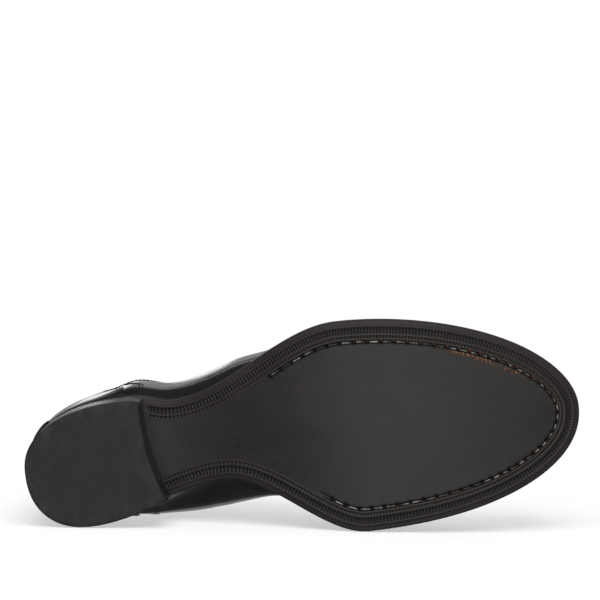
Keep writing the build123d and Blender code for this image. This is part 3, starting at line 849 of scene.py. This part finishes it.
def add_stitch(bm, centre, along, out, length, radius, around=6, rings=5, turn=0.0):
    """One stitch: a thread with rounded ends that lies along a direction."""
    made = bmesh.ops.create_uvsphere(bm, u_segments=around, v_segments=rings, radius=radius)
    across = along.cross(out).normalized()
    up = across.cross(along).normalized()
    frame_matrix = Matrix((across, up, along)).transposed().to_4x4()
    frame_matrix.translation = centre
    spin = Matrix.Rotation(turn, 4, "X")
    half = max(length / 2 - radius, 0.0)
    for vert in made["verts"]:
        bow = 1.0 if abs(vert.co.z) < radius * 0.2 else 0.93
        vert.co.x *= bow
        vert.co.y *= bow
        vert.co.z += half if vert.co.z > 1e-7 else (-half if vert.co.z < -1e-7 else 0.0)
        vert.co = frame_matrix @ (spin @ vert.co)


def make_midsole():
    """The middle sole: a closed rim with a wheeled top edge, its bottom on the outsole."""
    half = SAMPLES // 2
    edge = Edge(half)
    count = len(edge.points)
    # inset, lift over the outsole, and whether the wheel has marked it
    rings = [(15.0, 0.0, 0), (1.0, 0.0, 0), (0.6, 0.25, 0), (0.55, 1.4, 0), (0.6, 2.55, 0),
             (0.8, 2.85, 0), (1.1, 3.0, 0), (1.3, 3.0, 1), (2.0, 3.0, 1), (2.6, 3.0, 1),
             (2.9, 3.0, 0), (6.0, 3.0, 0), (15.0, 3.0, 0), (15.0, 0.0, 0)]
    bm = bmesh.new()
    bmesh.ops.create_grid(bm, x_segments=count, y_segments=len(rings) - 1, size=0.5)
    for vert in bm.verts:
        k = int(round((vert.co.x + 0.5) * count)) % count
        inset, lift, worked = rings[int(round((vert.co.y + 0.5) * (len(rings) - 1)))]
        x, y = edge.at(k, inset)
        room = smooth((margin(edge.side(k), x) - 1.8) / 1.2)
        if worked:
            lift -= 0.35 * room * (k % 2)
        vert.co = world(x, y, profile(x) + OUTSOLE + lift)
    bmesh.ops.remove_doubles(bm, verts=bm.verts, dist=1e-6)
    bmesh.ops.recalc_face_normals(bm, faces=bm.faces)
    finish_piece("welt_rim", bm, finish("edge"), replaces=["midsole"])


def heel_ring(inset, z, outline=150, front=24):
    """A closed outline of the heel at inset: round its end, then back along its bowed front."""
    ring = []
    for side, stop in (("lateral", BREAST_LATERAL), ("medial", BREAST_MEDIAL)):
        run = []
        for k in range(outline + 1):
            x = mix(inset, stop - inset, 0.5 - 0.5 * cos(pi * k / outline) if k < outline else 1.0)
            run.append((x, SIDES[side] * reach(side, x, inset)))
        ring += run[::-1] if side == "lateral" else run[1:]
    (x0, y0), (x1, y1) = ring[-1], ring[0]
    for k in range(1, front):
        t = k / front
        y = mix(y0, y1, t)
        ring.append((mix(x0, x1, t) - BREAST_BOW * (1.0 - (2.0 * t - 1.0) ** 2), y))
    return [(x, y, z) for x, y in ring]


def heel_body(name, low, high, material, replaces, soft):
    """One layer of the heel: bevelled at both edges, tapered with the heel's height."""
    def taper(z):
        return HEEL_TAPER * (1.0 - z / HEEL_HEIGHT)

    middle = (low + high) / 2
    levels = [(low, taper(low) + soft + 9.0), (low, taper(low) + soft + 2.0), (low, taper(low) + soft),
              (low + 0.12 * soft, taper(low) + 0.55 * soft), (low + 0.42 * soft, taper(low) + 0.18 * soft),
              (low + soft, taper(low)), (middle, taper(middle)), (high - 0.3, taper(high)),
              (high - 0.08, taper(high) + 0.12), (high, taper(high) + 0.4)]
    rings = [heel_ring(inset, z) for z, inset in levels]
    count = len(rings[0])
    bm = bmesh.new()
    bmesh.ops.create_grid(bm, x_segments=count, y_segments=len(rings) - 1, size=0.5)
    inset_layer = bm.verts.layers.float.new("inset")
    for vert in bm.verts:
        k = int(round((vert.co.x + 0.5) * count)) % count
        level = int(round((vert.co.y + 0.5) * (len(rings) - 1)))
        x, y, z = rings[level][k]
        if z > HEEL_HEIGHT - 1.0:
            z = min(z, profile(x))
        vert.co = world(x, y, z)
        vert[inset_layer] = (levels[level][1] - taper(low)) * MM
    bmesh.ops.remove_doubles(bm, verts=bm.verts, dist=1e-6)
    bmesh.ops.holes_fill(bm, edges=[e for e in bm.edges if e.is_boundary], sides=0)
    for face in bm.faces:
        if len(face.verts) > 4:
            for vert in face.verts:
                vert[inset_layer] = max(vert[inset_layer], 0.0095)
    bmesh.ops.recalc_face_normals(bm, faces=bm.faces)
    finish_piece(name, bm, material, replaces=replaces)


def make_heel():
    """Top piece of rubber under three lifts of leather."""
    heel_body("top_piece", 0.0, TOP_PIECE - 0.05, finish("rubber"),
              ["heel_top_piece"], 0.9)
    lift = (HEEL_HEIGHT - TOP_PIECE) / LIFTS
    for k in range(LIFTS):
        low = TOP_PIECE + k * lift
        heel_body(f"stacked_lift_{k + 1}", low, low + lift, finish("edge"),
                  [f"heel_lift_{LIFTS - k}"], 0.3)


# ------------------------------------------------------------------ upper

OVERLAY, STRIP = 1.3, 2.5
TOE_CAP_X, TOE_CAP_BOW = 236.0, 140.0
BAND_DROP = 8.0
FACING_WIDE, FACING_DROP, FACING_BACK = 23.0, 32.0, 96.0
TONGUE_LEVELS = {"leather": -4.6, "padding": -5.8, "lining": -8.0}
TONGUE_START, TONGUE_END, TONGUE_HALF, TONGUE_CORNER = 88.0, 176.0, 23.0, 14.0


def on_skin(side, x, w, grow):
    """A point of the upper in the frame; the two sides close at the heel's back and the toe's tip."""
    px, y, z = skin(side, x, w, grow)
    gap = min(max((TOE_END + grow - x) / 3.0, 0.0), max((x - HEEL_END + grow) / 3.0, 0.0), 1.0)
    centre = ridge_y(x) if w > 0.9 else 0.0
    return world(px, mix(centre, y, gap**0.5), z)


def settle_x(guess, side, w_of, edge_of):
    """The x at which an edge that depends on height or width meets a given share of the way up."""
    x = guess
    for _ in range(4):
        _, y, z = skin(side, x, w_of(x), 0.0)
        x = mix(x, edge_of(y, z), 0.75)
    return x


def cap_line(y, z):
    """The toe cap's rear edge, bowed forwards."""
    return TOE_CAP_X - TOE_CAP_BOW + max(TOE_CAP_BOW**2 - (y - 4.0) ** 2, 0.0) ** 0.5


def over_place(edge_of, grow, ahead=0.0):
    """Placing function of a panel that goes over the forepart, from its rear edge to the toe."""
    def place(u, v):
        side = "lateral" if v < 0.5 else "medial"
        w = 2 * v if v < 0.5 else 2 * (1 - v)
        rear = settle_x(200.0, side, lambda x: w, edge_of) + ahead
        return on_skin(side, mix(rear, TOE_END + grow, sin(u * pi / 2)), w, grow)
    return place


def heel_cover_front(z):
    """The outer counter's front edge at a height over the seat."""
    knots = [(-30.0, 58.0), (6.0, 55.0), (28.0, 45.0), (47.0, 25.0), (92.0, 19.0)]
    h = z - HEEL_HEIGHT - SOLE_TOP
    for (h0, x0), (h1, x1) in zip(knots, knots[1:]):
        if h <= h1:
            return mix(x0, x1, smooth((h - h0) / (h1 - h0)))
    return knots[-1][1]


def round_place(front_of, low_of, high_of, grow):
    """Placing function of a panel that goes round the heel's back."""
    def place(u, v):
        side = "lateral" if u < 0.5 else "medial"
        away = abs(2 * u - 1)
        x = 30.0
        for _ in range(4):
            w = mix(low_of(side, x), high_of(side, x), v)
            front = front_of(skin(side, x, w, grow)[2])
            x = mix(HEEL_END - grow, front, 1.0 - cos(away * pi / 2) if away < 1 else 1.0)
        w = mix(low_of(side, x), high_of(side, x), v)
        return on_skin(side, x, w, grow)
    return place


def make_panel(name, place, across, along, thickness, replaces, material="upper",
               body=BODY):
    """A panel of leather: a sheet on the upper's skin with a wall behind it and soft edges."""
    bm = patch(place, across, along)
    bmesh.ops.remove_doubles(bm, verts=bm.verts, dist=2e-6)
    face_outwards(bm, core)
    piece = finish_piece(name, bm, finish(material), body, replaces)
    add_wall(piece, thickness * MM)
    add_soft_edges(piece, 0.32 * thickness * MM)
    return piece


def make_vamp():
    """Vamp and toe cap."""
    make_panel("vamp_panel", over_place(lambda y, z: seam_x(z), 0.0, -1.5), 72, 110, 1.4, ["vamp"])
    make_panel("toe_cap_panel", over_place(cap_line, OVERLAY), 44, 100, 1.25, ["toe_cap"])


def make_quarters():
    """The two quarters, from the heel's back to the slanted seam."""
    for side in SIDES:
        def place(u, v, side=side):
            front = settle_x(150.0, side, lambda x: v * w_top(side, x, 0.0), lambda y, z: seam_x(z))
            x = mix(HEEL_END, front, 1.0 - cos(u * pi / 2) if u < 1 else 1.0)
            return on_skin(side, x, v * w_top(side, x, 0.0), 0.25)
        make_panel(f"quarter_panel_{side}", place, 90, 40, 1.5, [f"quarter_{side}"])


def make_counter():
    """Outer counter, back strip, collar band and the rolled collar."""
    place = round_place(heel_cover_front, lambda side, x: 0.0,
                        lambda side, x: w_top(side, x, OVERLAY, BAND_DROP), OVERLAY)
    make_panel("outer_counter", place, 84, 32, 1.25, ["heel_cover"])
    place = round_place(lambda z: 101.0, lambda side, x: w_top(side, x, OVERLAY, BAND_DROP),
                        lambda side, x: w_top(side, x, OVERLAY), OVERLAY)
    make_panel("collar_strip", place, 140, 8, 1.25, ["collar_band"])

    def strip_half(z):
        h = z - HEEL_HEIGHT - SOLE_TOP
        return mix(26.0, 8.5, smooth((h + 6.0) / 34.0))

    def strip_place(u, v):
        side = "medial" if u > 0.5 else "lateral"
        top = collar_z(2.0) - BAND_DROP + 1.5
        z = mix(HEEL_HEIGHT + SOLE_TOP + 0.3, top, v)
        wanted = abs(2 * u - 1) * strip_half(z)
        near, far = HEEL_END - STRIP, 40.0
        for _ in range(26):
            x = (near + far) / 2
            reached = abs(skin(side, x, w_at_height(side, x, z, STRIP), STRIP)[1])
            near, far = (x, far) if reached < wanted else (near, x)
        return world(x, SIDES[side] * wanted, z)
    make_panel("rear_strip", strip_place, 28, 48, 1.15, ["back_strip"])
    make_collar_roll()


def make_collar_roll():
    """A thin roll of leather round the foot opening."""
    along, around = 220, 10
    radius = sizes().collar_roll

    def spot(u):
        side = "lateral" if u < 0.5 else "medial"
        away = abs(2 * u - 1)
        x = mix(HEEL_END + 1.2, THROAT_TOP - 1.0, 1.0 - cos(away * pi / 2))
        return on_skin(side, x, w_top(side, x, -1.2), -1.2)

    def place(u, v):
        here = spot(u)
        ahead = (spot(min(u + 0.004, 1.0)) - spot(max(u - 0.004, 0.0))).normalized()
        out = ahead.cross(Vector((0.0, 0.0, 1.0))).normalized()
        up = out.cross(ahead).normalized()
        size = radius * min(1.0, 0.25 + (min(u, 1.0 - u) / 0.02) ** 0.5)
        return here + out * cos(2 * pi * v) * size * 1.15 + up * sin(2 * pi * v) * size
    bm = patch(place, along, around)
    bmesh.ops.remove_doubles(bm, verts=bm.verts, dist=1e-6)
    bmesh.ops.holes_fill(bm, edges=[e for e in bm.edges if e.is_boundary], sides=0)
    bmesh.ops.recalc_face_normals(bm, faces=bm.faces)
    roll = finish_piece("collar_roll", bm, finish("upper"))
    soften = roll.modifiers.new("round", "SUBSURF")
    soften.levels = soften.render_levels = 1


def make_facings():
    """The two eyelet facings along the throat."""
    for side in SIDES:
        def low_w(x, side=side):
            ridge_z = profile(x) + SOLE_TOP + ridge_height(x, OVERLAY)
            return max(w_at_offset(side, x, throat_half(x) + FACING_WIDE, OVERLAY),
                       w_at_height(side, x, ridge_z - FACING_DROP, OVERLAY))

        def place(u, v, side=side):
            def w_of(x):
                return mix(low_w(x), w_top(side, x, OVERLAY), v)
            front = settle_x(160.0, side, w_of, lambda y, z: seam_x(z)) - 0.4
            x = mix(FACING_BACK + 7.0 * (1 - v) ** 2, front, u)
            return on_skin(side, x, w_of(x), OVERLAY)
        make_panel(f"facing_panel_{side}", place, 56, 20, 1.2, [f"facing_{side}"])


def tongue_half(x):
    """Half the tongue's width, rounded at its top and narrower at its root."""
    wide = mix(TONGUE_HALF, 0.7 * TONGUE_HALF, smooth((x - TONGUE_START - TONGUE_CORNER) / 74.0))
    t = min((x - TONGUE_START) / TONGUE_CORNER, 1.0)
    return wide * max(1.0 - (1.0 - t) ** 2.2, 0.0) ** (1 / 2.2)


def tongue_place(level, puff=0.0, shrink=0.0):
    def place(u, v):
        x = mix(TONGUE_START + shrink, TONGUE_END - shrink, 1.0 - cos(u * pi / 2) if u < 1 else 1.0)
        away = (2 * v - 1) * max(tongue_half(x) - shrink, 0.0)
        side = "medial" if away >= 0 else "lateral"
        swollen = level + puff * (1 - (2 * v - 1) ** 4) * sin(pi * min(u * 1.2, 1.0))
        px, y, z = skin(side, x, w_at_offset(side, x, abs(away), swollen), swollen)
        return world(px, y, z)
    return place


def make_tongue():
    """The tongue's leather, its padding and its lining."""
    make_panel("tongue_leather", tongue_place(TONGUE_LEVELS["leather"]), 60, 26, 1.15, ["tongue"],
               body="tongue")
    pad = make_panel("tongue_pad", tongue_place(TONGUE_LEVELS["padding"], 0.05, 0.8), 40, 22, 2.1,
                     ["tongue_padding"], "foam", "tongue")
    make_panel("tongue_backing", tongue_place(TONGUE_LEVELS["lining"], 0.0, 0.2), 60, 26, 0.85,
               ["tongue_lining"], "lining", "tongue")


def outward(point, first, second):
    """Unit normal of two directions that points away from the shoe's core."""
    normal = first.cross(second).normalized()
    return normal if normal.dot(point - core(point)) > 0 else -normal


def sew(bm, spots, pitch=2.3, thick=0.62):
    """A row of stitches along (point, normal) spots."""
    left = pitch / 2 * MM
    for (a, normal), (b, _) in zip(spots, spots[1:]):
        step = (b - a).length
        if step < 1e-7:
            continue
        along = (b - a) / step
        at = left
        while at < step:
            centre = a + along * at + normal * 0.05 * MM
            add_stitch(bm, centre, along, normal, pitch * 0.74 * MM, thick / 2 * MM)
            at += pitch * MM
        left = at - step


def skin_spots(track, grow):
    """Points and normals of a (side, x, w) track at grow."""
    spots = []
    for side, x, w in track:
        here = on_skin(side, x, w, grow)
        ahead = on_skin(side, x + 0.4, w, grow) - on_skin(side, x - 0.4, w, grow)
        above = on_skin(side, x, min(w + 0.01, 1.0), grow) - on_skin(side, x, w - 0.01, grow)
        spots.append((here, outward(here, ahead, above)))
    return spots


def make_upper_seams():
    """All the rows of stitches on the upper."""
    bm = bmesh.new()
    steps = 90
    for side in SIDES:
        ups = [0.02 + 0.97 * k / steps for k in range(steps + 1)]
        for back in (1.5, 3.3):
            track = [(side, settle_x(230.0, side, lambda x: w, cap_line) + back, w) for w in ups]
            sew(bm, skin_spots(track, OVERLAY))
        for back in (2.0, 4.0):
            track = []
            for v in ups:
                def quarter_w(x, v=v):
                    return v * w_top(side, x, 0.0)
                x = settle_x(150.0, side, quarter_w, lambda y, z: seam_x(z)) - back
                track.append((side, x, quarter_w(x)))
            sew(bm, skin_spots(track, 0.3))
        for back, grow in ((1.8, OVERLAY), (3.6, OVERLAY), (-9.0, 0.3), (-10.8, 0.3)):
            track = []
            for v in ups:
                def cover_w(x, v=v):
                    return v * w_top(side, x, OVERLAY, BAND_DROP)
                x = settle_x(50.0, side, cover_w, lambda y, z: heel_cover_front(z)) - back
                track.append((side, x, cover_w(x)))
            sew(bm, skin_spots(track, grow))
        xs = [mix(12.0, 99.0, k / steps) for k in range(steps + 1)]
        for drop in (1.8, BAND_DROP - 1.6):
            sew(bm, skin_spots([(side, x, w_top(side, x, OVERLAY, drop)) for x in xs], OVERLAY))
        xs = [mix(FACING_BACK + 3.0, 160.0, k / steps) for k in range(steps + 1)]
        for away in (1.8, 3.6, FACING_WIDE - 3.4, FACING_WIDE - 1.6):
            track = []
            for x in xs:
                w = w_at_offset(side, x, throat_half(x) + away, OVERLAY)
                if x < seam_x(skin(side, x, w, 0.0)[2]) - 1.5 and w < w_top(side, x, OVERLAY, 1.5):
                    track.append((side, x, w))
            sew(bm, skin_spots(track, OVERLAY))
    finish_piece("upper_seams", bm, finish("thread"))


def make_sole_marks():
    """A plain row of small pressed lozenges and one ring in the sole's waist."""
    bm = bmesh.new()
    lean = Matrix.Rotation(radians(-4.0), 4, "Z")
    for k in range(5):
        x = 84.0 + 5.2 * k
        made = bmesh.ops.create_circle(bm, cap_ends=True, segments=4, radius=1.7 * MM)
        tall = Matrix.Diagonal((0.7, 1.5, 1.0, 1.0))
        for vert in made["verts"]:
            vert.co = world(x, -4.6 + 0.35 * k, profile(x) - 0.03) + lean @ tall @ vert.co
    x = 114.0
    made = bmesh.ops.create_circle(bm, cap_ends=True, segments=28, radius=2.6 * MM)
    for vert in made["verts"]:
        vert.co = world(x, -1.6, profile(x) - 0.03) + vert.co
    for vert in bm.verts:
        vert.co.z = world(0.0, 0.0, profile((vert.co.x - SOLE_LOW[0]) / MM) - 0.03).z
    rims = bmesh.ops.inset_individual(bm, faces=list(bm.faces), thickness=0.5 * MM, depth=0.0)
    bmesh.ops.delete(bm, geom=[f for f in bm.faces if f not in rims["faces"]], context="FACES")
    shell = bmesh.ops.extrude_face_region(bm, geom=list(bm.faces))
    for vert in [g for g in shell["geom"] if isinstance(g, bmesh.types.BMVert)]:
        vert.co.z += 0.3 * MM
    bmesh.ops.recalc_face_normals(bm, faces=bm.faces)
    finish_piece("sole_marks", bm, finish("stamp"), smooth_faces=False)


# ------------------------------------------------------------------ finishes of the frame's own pieces

NODE_FINISHES = {
    "sole": ("outsole",),
    "edge": ("midsole", "heel_lift_1", "heel_lift_2", "heel_lift_3"),
    "rubber": ("heel_top_piece",),
    "sole_thread": ("sole_stitches",),
    "steel": ("shank", "heel_nails"),
    "cork": ("forepart_filler",),
    "insole": ("insole",),
    "board": ("shank_board", "heel_counter"),
    "cloth": ("toe_puff", "interlining"),
    "upper": ("vamp", "toe_cap", "quarter_medial", "quarter_lateral", "heel_cover", "back_strip",
              "collar_band", "facing_medial", "facing_lateral", "tongue"),
    "lining": ("sock_lining", "vamp_lining", "quarter_lining", "tongue_lining"),
    "enamel": ("eyelets_medial", "eyelets_lateral"),
    "foam": ("tongue_padding",),
}


def paint_nodes():
    """Gives each of the frame's own pieces its finish."""
    for name, nodes in NODE_FINISHES.items():
        for node in nodes:
            materials = frame["nodes"][node].data.materials
            materials.clear()
            materials.append(finish(name))


# ------------------------------------------------------------------ stage

def camera_matrix():
    """The camera's place: below the sole of the shoe, which lies on its inner side."""
    turn = (Matrix.Rotation(radians(CAMERA["pitch"]), 3, "X")
            @ Matrix.Rotation(radians(CAMERA["roll"]), 3, "Z") @ Matrix.Diagonal((1.0, -1.0, -1.0)))
    target = Vector(CAMERA["target"])
    place = Vector(CAMERA["place"]) - turn @ target
    back = turn.transposed()
    matrix = back.to_4x4()
    matrix.translation = -(back @ place)
    return matrix


CAMERA = {"pitch": 3.1, "roll": 6.96, "target": (-0.0040, -0.0077, 0.0),
          "place": (-0.00409, -0.06418, -1.142), "lens": 128.4}


def add_light(name, place, aim, size, energy, size_y=None, mirrored=True):
    data = bpy.data.lights.new(name, "AREA")
    data.shape = "RECTANGLE"
    data.size = size
    data.size_y = size_y or size
    data.energy = energy
    light = bpy.data.objects.new(name, data)
    bpy.context.scene.collection.objects.link(light)
    light.location = place
    light.visible_glossy = mirrored
    light.rotation_euler = (Vector(aim) - Vector(place)).to_track_quat("-Z", "Y").to_euler()
    return light


def stage_sheet(name, corner, across, up, albedo, veil=None):
    """A pale sheet that shows only from its front.

    A veil is a thin sheet: how far it fades before and behind the sole's plane, and its density.
    """
    bm = bmesh.new()
    bmesh.ops.create_grid(bm, x_segments=8, y_segments=8, size=0.5)
    for vert in bm.verts:
        vert.co = Vector(corner) + Vector(across) * (vert.co.x + 0.5) + Vector(up) * (vert.co.y + 0.5)
    bm.normal_update()
    wanted = Vector(across).cross(Vector(up))
    if sum((face.normal.dot(wanted) for face in bm.faces)) < 0:
        bmesh.ops.reverse_faces(bm, faces=bm.faces)
    mesh = bpy.data.meshes.new(name)
    bm.to_mesh(mesh)
    bm.free()
    f = Finish(name)
    mottle = f.noise(3.0, 2.0)
    f.colour(f.blend(mottle, shade((1, 1, 1), albedo), shade((1, 1, 1), albedo * 1.02)))
    f.feed("Roughness", mottle * 0.05 + 0.9)
    hidden = f.node("ShaderNodeNewGeometry", {}, {}, "Backfacing")
    if veil:
        before, behind, density = veil
        depth = f.node("ShaderNodeSeparateXYZ", {}, {"Vector": f.place()}, "Z")
        shown = depth.ramp(-before, 0.0) * (1 - depth.ramp(0.0, behind)) * density
        hidden = 1 - (1 - hidden) * shown
    clear = f.node("ShaderNodeBsdfTransparent", {}, {}, "BSDF")
    shader = Wire(f, f.shader.outputs["BSDF"])
    mixed = f.node("ShaderNodeMixShader", {}, {0: hidden, 1: shader, 2: clear}, "Shader")
    f.links.new(mixed.socket, f.nodes["Material Output"].inputs["Surface"])
    mesh.materials.append(f.material)
    sheet = bpy.data.objects.new(name, mesh)
    bpy.context.scene.collection.objects.link(sheet)
    sheet.visible_shadow = False
    sheet.visible_diffuse = False
    sheet.visible_glossy = False
    return sheet


def make_stage():
    """Camera, lights, white surroundings and the two pale sheets the shoe can rest on."""
    scene = bpy.context.scene
    scene.view_settings.view_transform = "Standard"
    data = bpy.data.cameras.new("camera")
    data.lens = CAMERA["lens"]
    camera = bpy.data.objects.new("camera", data)
    scene.collection.objects.link(camera)
    camera.matrix_world = camera_matrix()
    scene.camera = camera
    low, high = CAD_BOX
    middle = (Vector(low) + Vector(high)) / 2
    stage_sheet("pale_floor", (-3.0, -3.0, low[2] - 0.0004), (6.0, 0, 0), (0, 6.0, 0), 0.9)
    heel_rest, ball_rest = (world(xs["medial"], ys["medial"] + 0.5, 0.0)
                            for xs, ys in ((HEEL_X, HEEL_REACH), (BALL_X, BALL_REACH)))
    along = (ball_rest - heel_rest).normalized()
    corner = heel_rest - along * 1.1 - Vector((0, 0, 0.7))
    stage_sheet("pale_table", corner, along * 2.4, (0, 0, 1.3), 0.9, (0.03, 0.24, 0.5))
    add_light("key", (0.15, -1.0, -0.55), middle, 1.0, 16.0, mirrored=False)
    add_light("side_strip", (0.0, -0.85, 0.72), middle, 1.6, 1.3, 0.07)
    add_light("heel_strip", (-0.28, -0.16, 1.5), (-0.12, 0.0, 0.01), 0.14, 0.16, 0.3)
    add_light("front_fill", (0.05, -0.05, -1.75), middle, 1.5, 8.5)
    add_light("top_box", (0.1, 0.1, 1.6), middle, 2.4, 4.5)
    add_light("far_side", (0.3, 1.2, 0.9), middle, 1.0, 8.0, mirrored=False)
    surround = bpy.data.worlds.new("surround")
    surround.use_nodes = True
    nodes, links = surround.node_tree.nodes, surround.node_tree.links
    background = nodes["Background"]
    path = nodes.new("ShaderNodeLightPath")
    seen = nodes.new("ShaderNodeMapRange")
    seen.inputs["To Min"].default_value = 0.4
    mirrored = nodes.new("ShaderNodeMapRange")
    mirrored.inputs["To Min"].default_value = 1.0
    mirrored.inputs["To Max"].default_value = 0.25
    strength = nodes.new("ShaderNodeMath")
    strength.operation = "MULTIPLY"
    links.new(path.outputs["Is Camera Ray"], seen.inputs["Value"])
    links.new(path.outputs["Is Glossy Ray"], mirrored.inputs["Value"])
    links.new(seen.outputs["Result"], strength.inputs[0])
    links.new(mirrored.outputs["Result"], strength.inputs[1])
    background.inputs["Color"].default_value = (1.0, 1.0, 1.0, 1.0)
    links.new(strength.outputs["Value"], background.inputs["Strength"])
    scene.world = surround


# ------------------------------------------------------------------ operators and panel

class ShoeStep:
    """What the operators share: each runs the function that makes its pieces."""

    def execute(self, context):
        self.make()
        return {"FINISHED"}


class SHOE_OT_finishes(ShoeStep, bpy.types.Operator):
    """Gives the frame's own pieces their finishes"""
    bl_idname = "shoe.finishes"
    bl_label = "Frame finishes"
    make = staticmethod(paint_nodes)


class SHOE_OT_outsole(ShoeStep, bpy.types.Operator):
    """Makes the outsole with its worked border and seam channel"""
    bl_idname = "shoe.outsole"
    bl_label = "Outsole"
    make = staticmethod(make_outsole)


class SHOE_OT_sole_seam(ShoeStep, bpy.types.Operator):
    """Makes the waxed stitches of the sole"""
    bl_idname = "shoe.sole_seam"
    bl_label = "Sole seam"
    make = staticmethod(make_sole_seam)


class SHOE_OT_midsole(ShoeStep, bpy.types.Operator):
    """Makes the middle sole's wheeled rim"""
    bl_idname = "shoe.midsole"
    bl_label = "Middle sole"
    make = staticmethod(make_midsole)


class SHOE_OT_heel(ShoeStep, bpy.types.Operator):
    """Makes the heel's top piece and lifts"""
    bl_idname = "shoe.heel"
    bl_label = "Heel"
    make = staticmethod(make_heel)


class SHOE_OT_vamp(ShoeStep, bpy.types.Operator):
    """Makes the vamp and the toe cap"""
    bl_idname = "shoe.vamp"
    bl_label = "Vamp and toe cap"
    make = staticmethod(make_vamp)


class SHOE_OT_quarters(ShoeStep, bpy.types.Operator):
    """Makes the two quarters"""
    bl_idname = "shoe.quarters"
    bl_label = "Quarters"
    make = staticmethod(make_quarters)


class SHOE_OT_counter(ShoeStep, bpy.types.Operator):
    """Makes the outer counter, the rear strip and the collar"""
    bl_idname = "shoe.counter"
    bl_label = "Counter and collar"
    make = staticmethod(make_counter)


class SHOE_OT_facings(ShoeStep, bpy.types.Operator):
    """Makes the two eyelet facings"""
    bl_idname = "shoe.facings"
    bl_label = "Facings"
    make = staticmethod(make_facings)


class SHOE_OT_tongue(ShoeStep, bpy.types.Operator):
    """Makes the tongue with its padding and lining"""
    bl_idname = "shoe.tongue"
    bl_label = "Tongue"
    make = staticmethod(make_tongue)


class SHOE_OT_upper_seams(ShoeStep, bpy.types.Operator):
    """Makes the stitches of the upper"""
    bl_idname = "shoe.upper_seams"
    bl_label = "Upper seams"
    make = staticmethod(make_upper_seams)


class SHOE_OT_sole_marks(ShoeStep, bpy.types.Operator):
    """Makes the plain pressed marks in the waist"""
    bl_idname = "shoe.sole_marks"
    bl_label = "Sole marks"
    make = staticmethod(make_sole_marks)


class SHOE_OT_stage(ShoeStep, bpy.types.Operator):
    """Makes the camera, the lights and the pale surroundings"""
    bl_idname = "shoe.stage"
    bl_label = "Stage"
    make = staticmethod(make_stage)


class SHOE_PT_panel(bpy.types.Panel):
    """Lists the sizes, the colours and the steps that make the shoe"""
    bl_label = "Shoe"
    bl_idname = "SHOE_PT_panel"
    bl_space_type = "VIEW_3D"
    bl_region_type = "UI"
    bl_category = "Shoe"

    def draw(self, context):
        for group in (context.scene.shoe_sizes, context.scene.shoe_colours):
            for name in group.__annotations__:
                self.layout.prop(group, name)
        for step in STEPS:
            self.layout.operator(step.bl_idname)


STEPS = (SHOE_OT_finishes, SHOE_OT_outsole, SHOE_OT_sole_seam, SHOE_OT_sole_marks, SHOE_OT_midsole,
         SHOE_OT_heel, SHOE_OT_vamp, SHOE_OT_quarters, SHOE_OT_counter, SHOE_OT_facings,
         SHOE_OT_tongue, SHOE_OT_upper_seams, SHOE_OT_stage)
CLASSES = (ShoeSizes, ShoeColours, *STEPS, SHOE_PT_panel)


def register():
    for cls in CLASSES:
        bpy.utils.register_class(cls)
    bpy.types.Scene.shoe_sizes = PointerProperty(type=ShoeSizes)
    bpy.types.Scene.shoe_colours = PointerProperty(type=ShoeColours)


def unregister():
    del bpy.types.Scene.shoe_colours
    del bpy.types.Scene.shoe_sizes
    for cls in reversed(CLASSES):
        bpy.utils.unregister_class(cls)


def main():
    register()
    for step in STEPS:
        group, name = step.bl_idname.split(".")
        getattr(getattr(bpy.ops, group), name)()


if __name__ == "__main__":
    main()
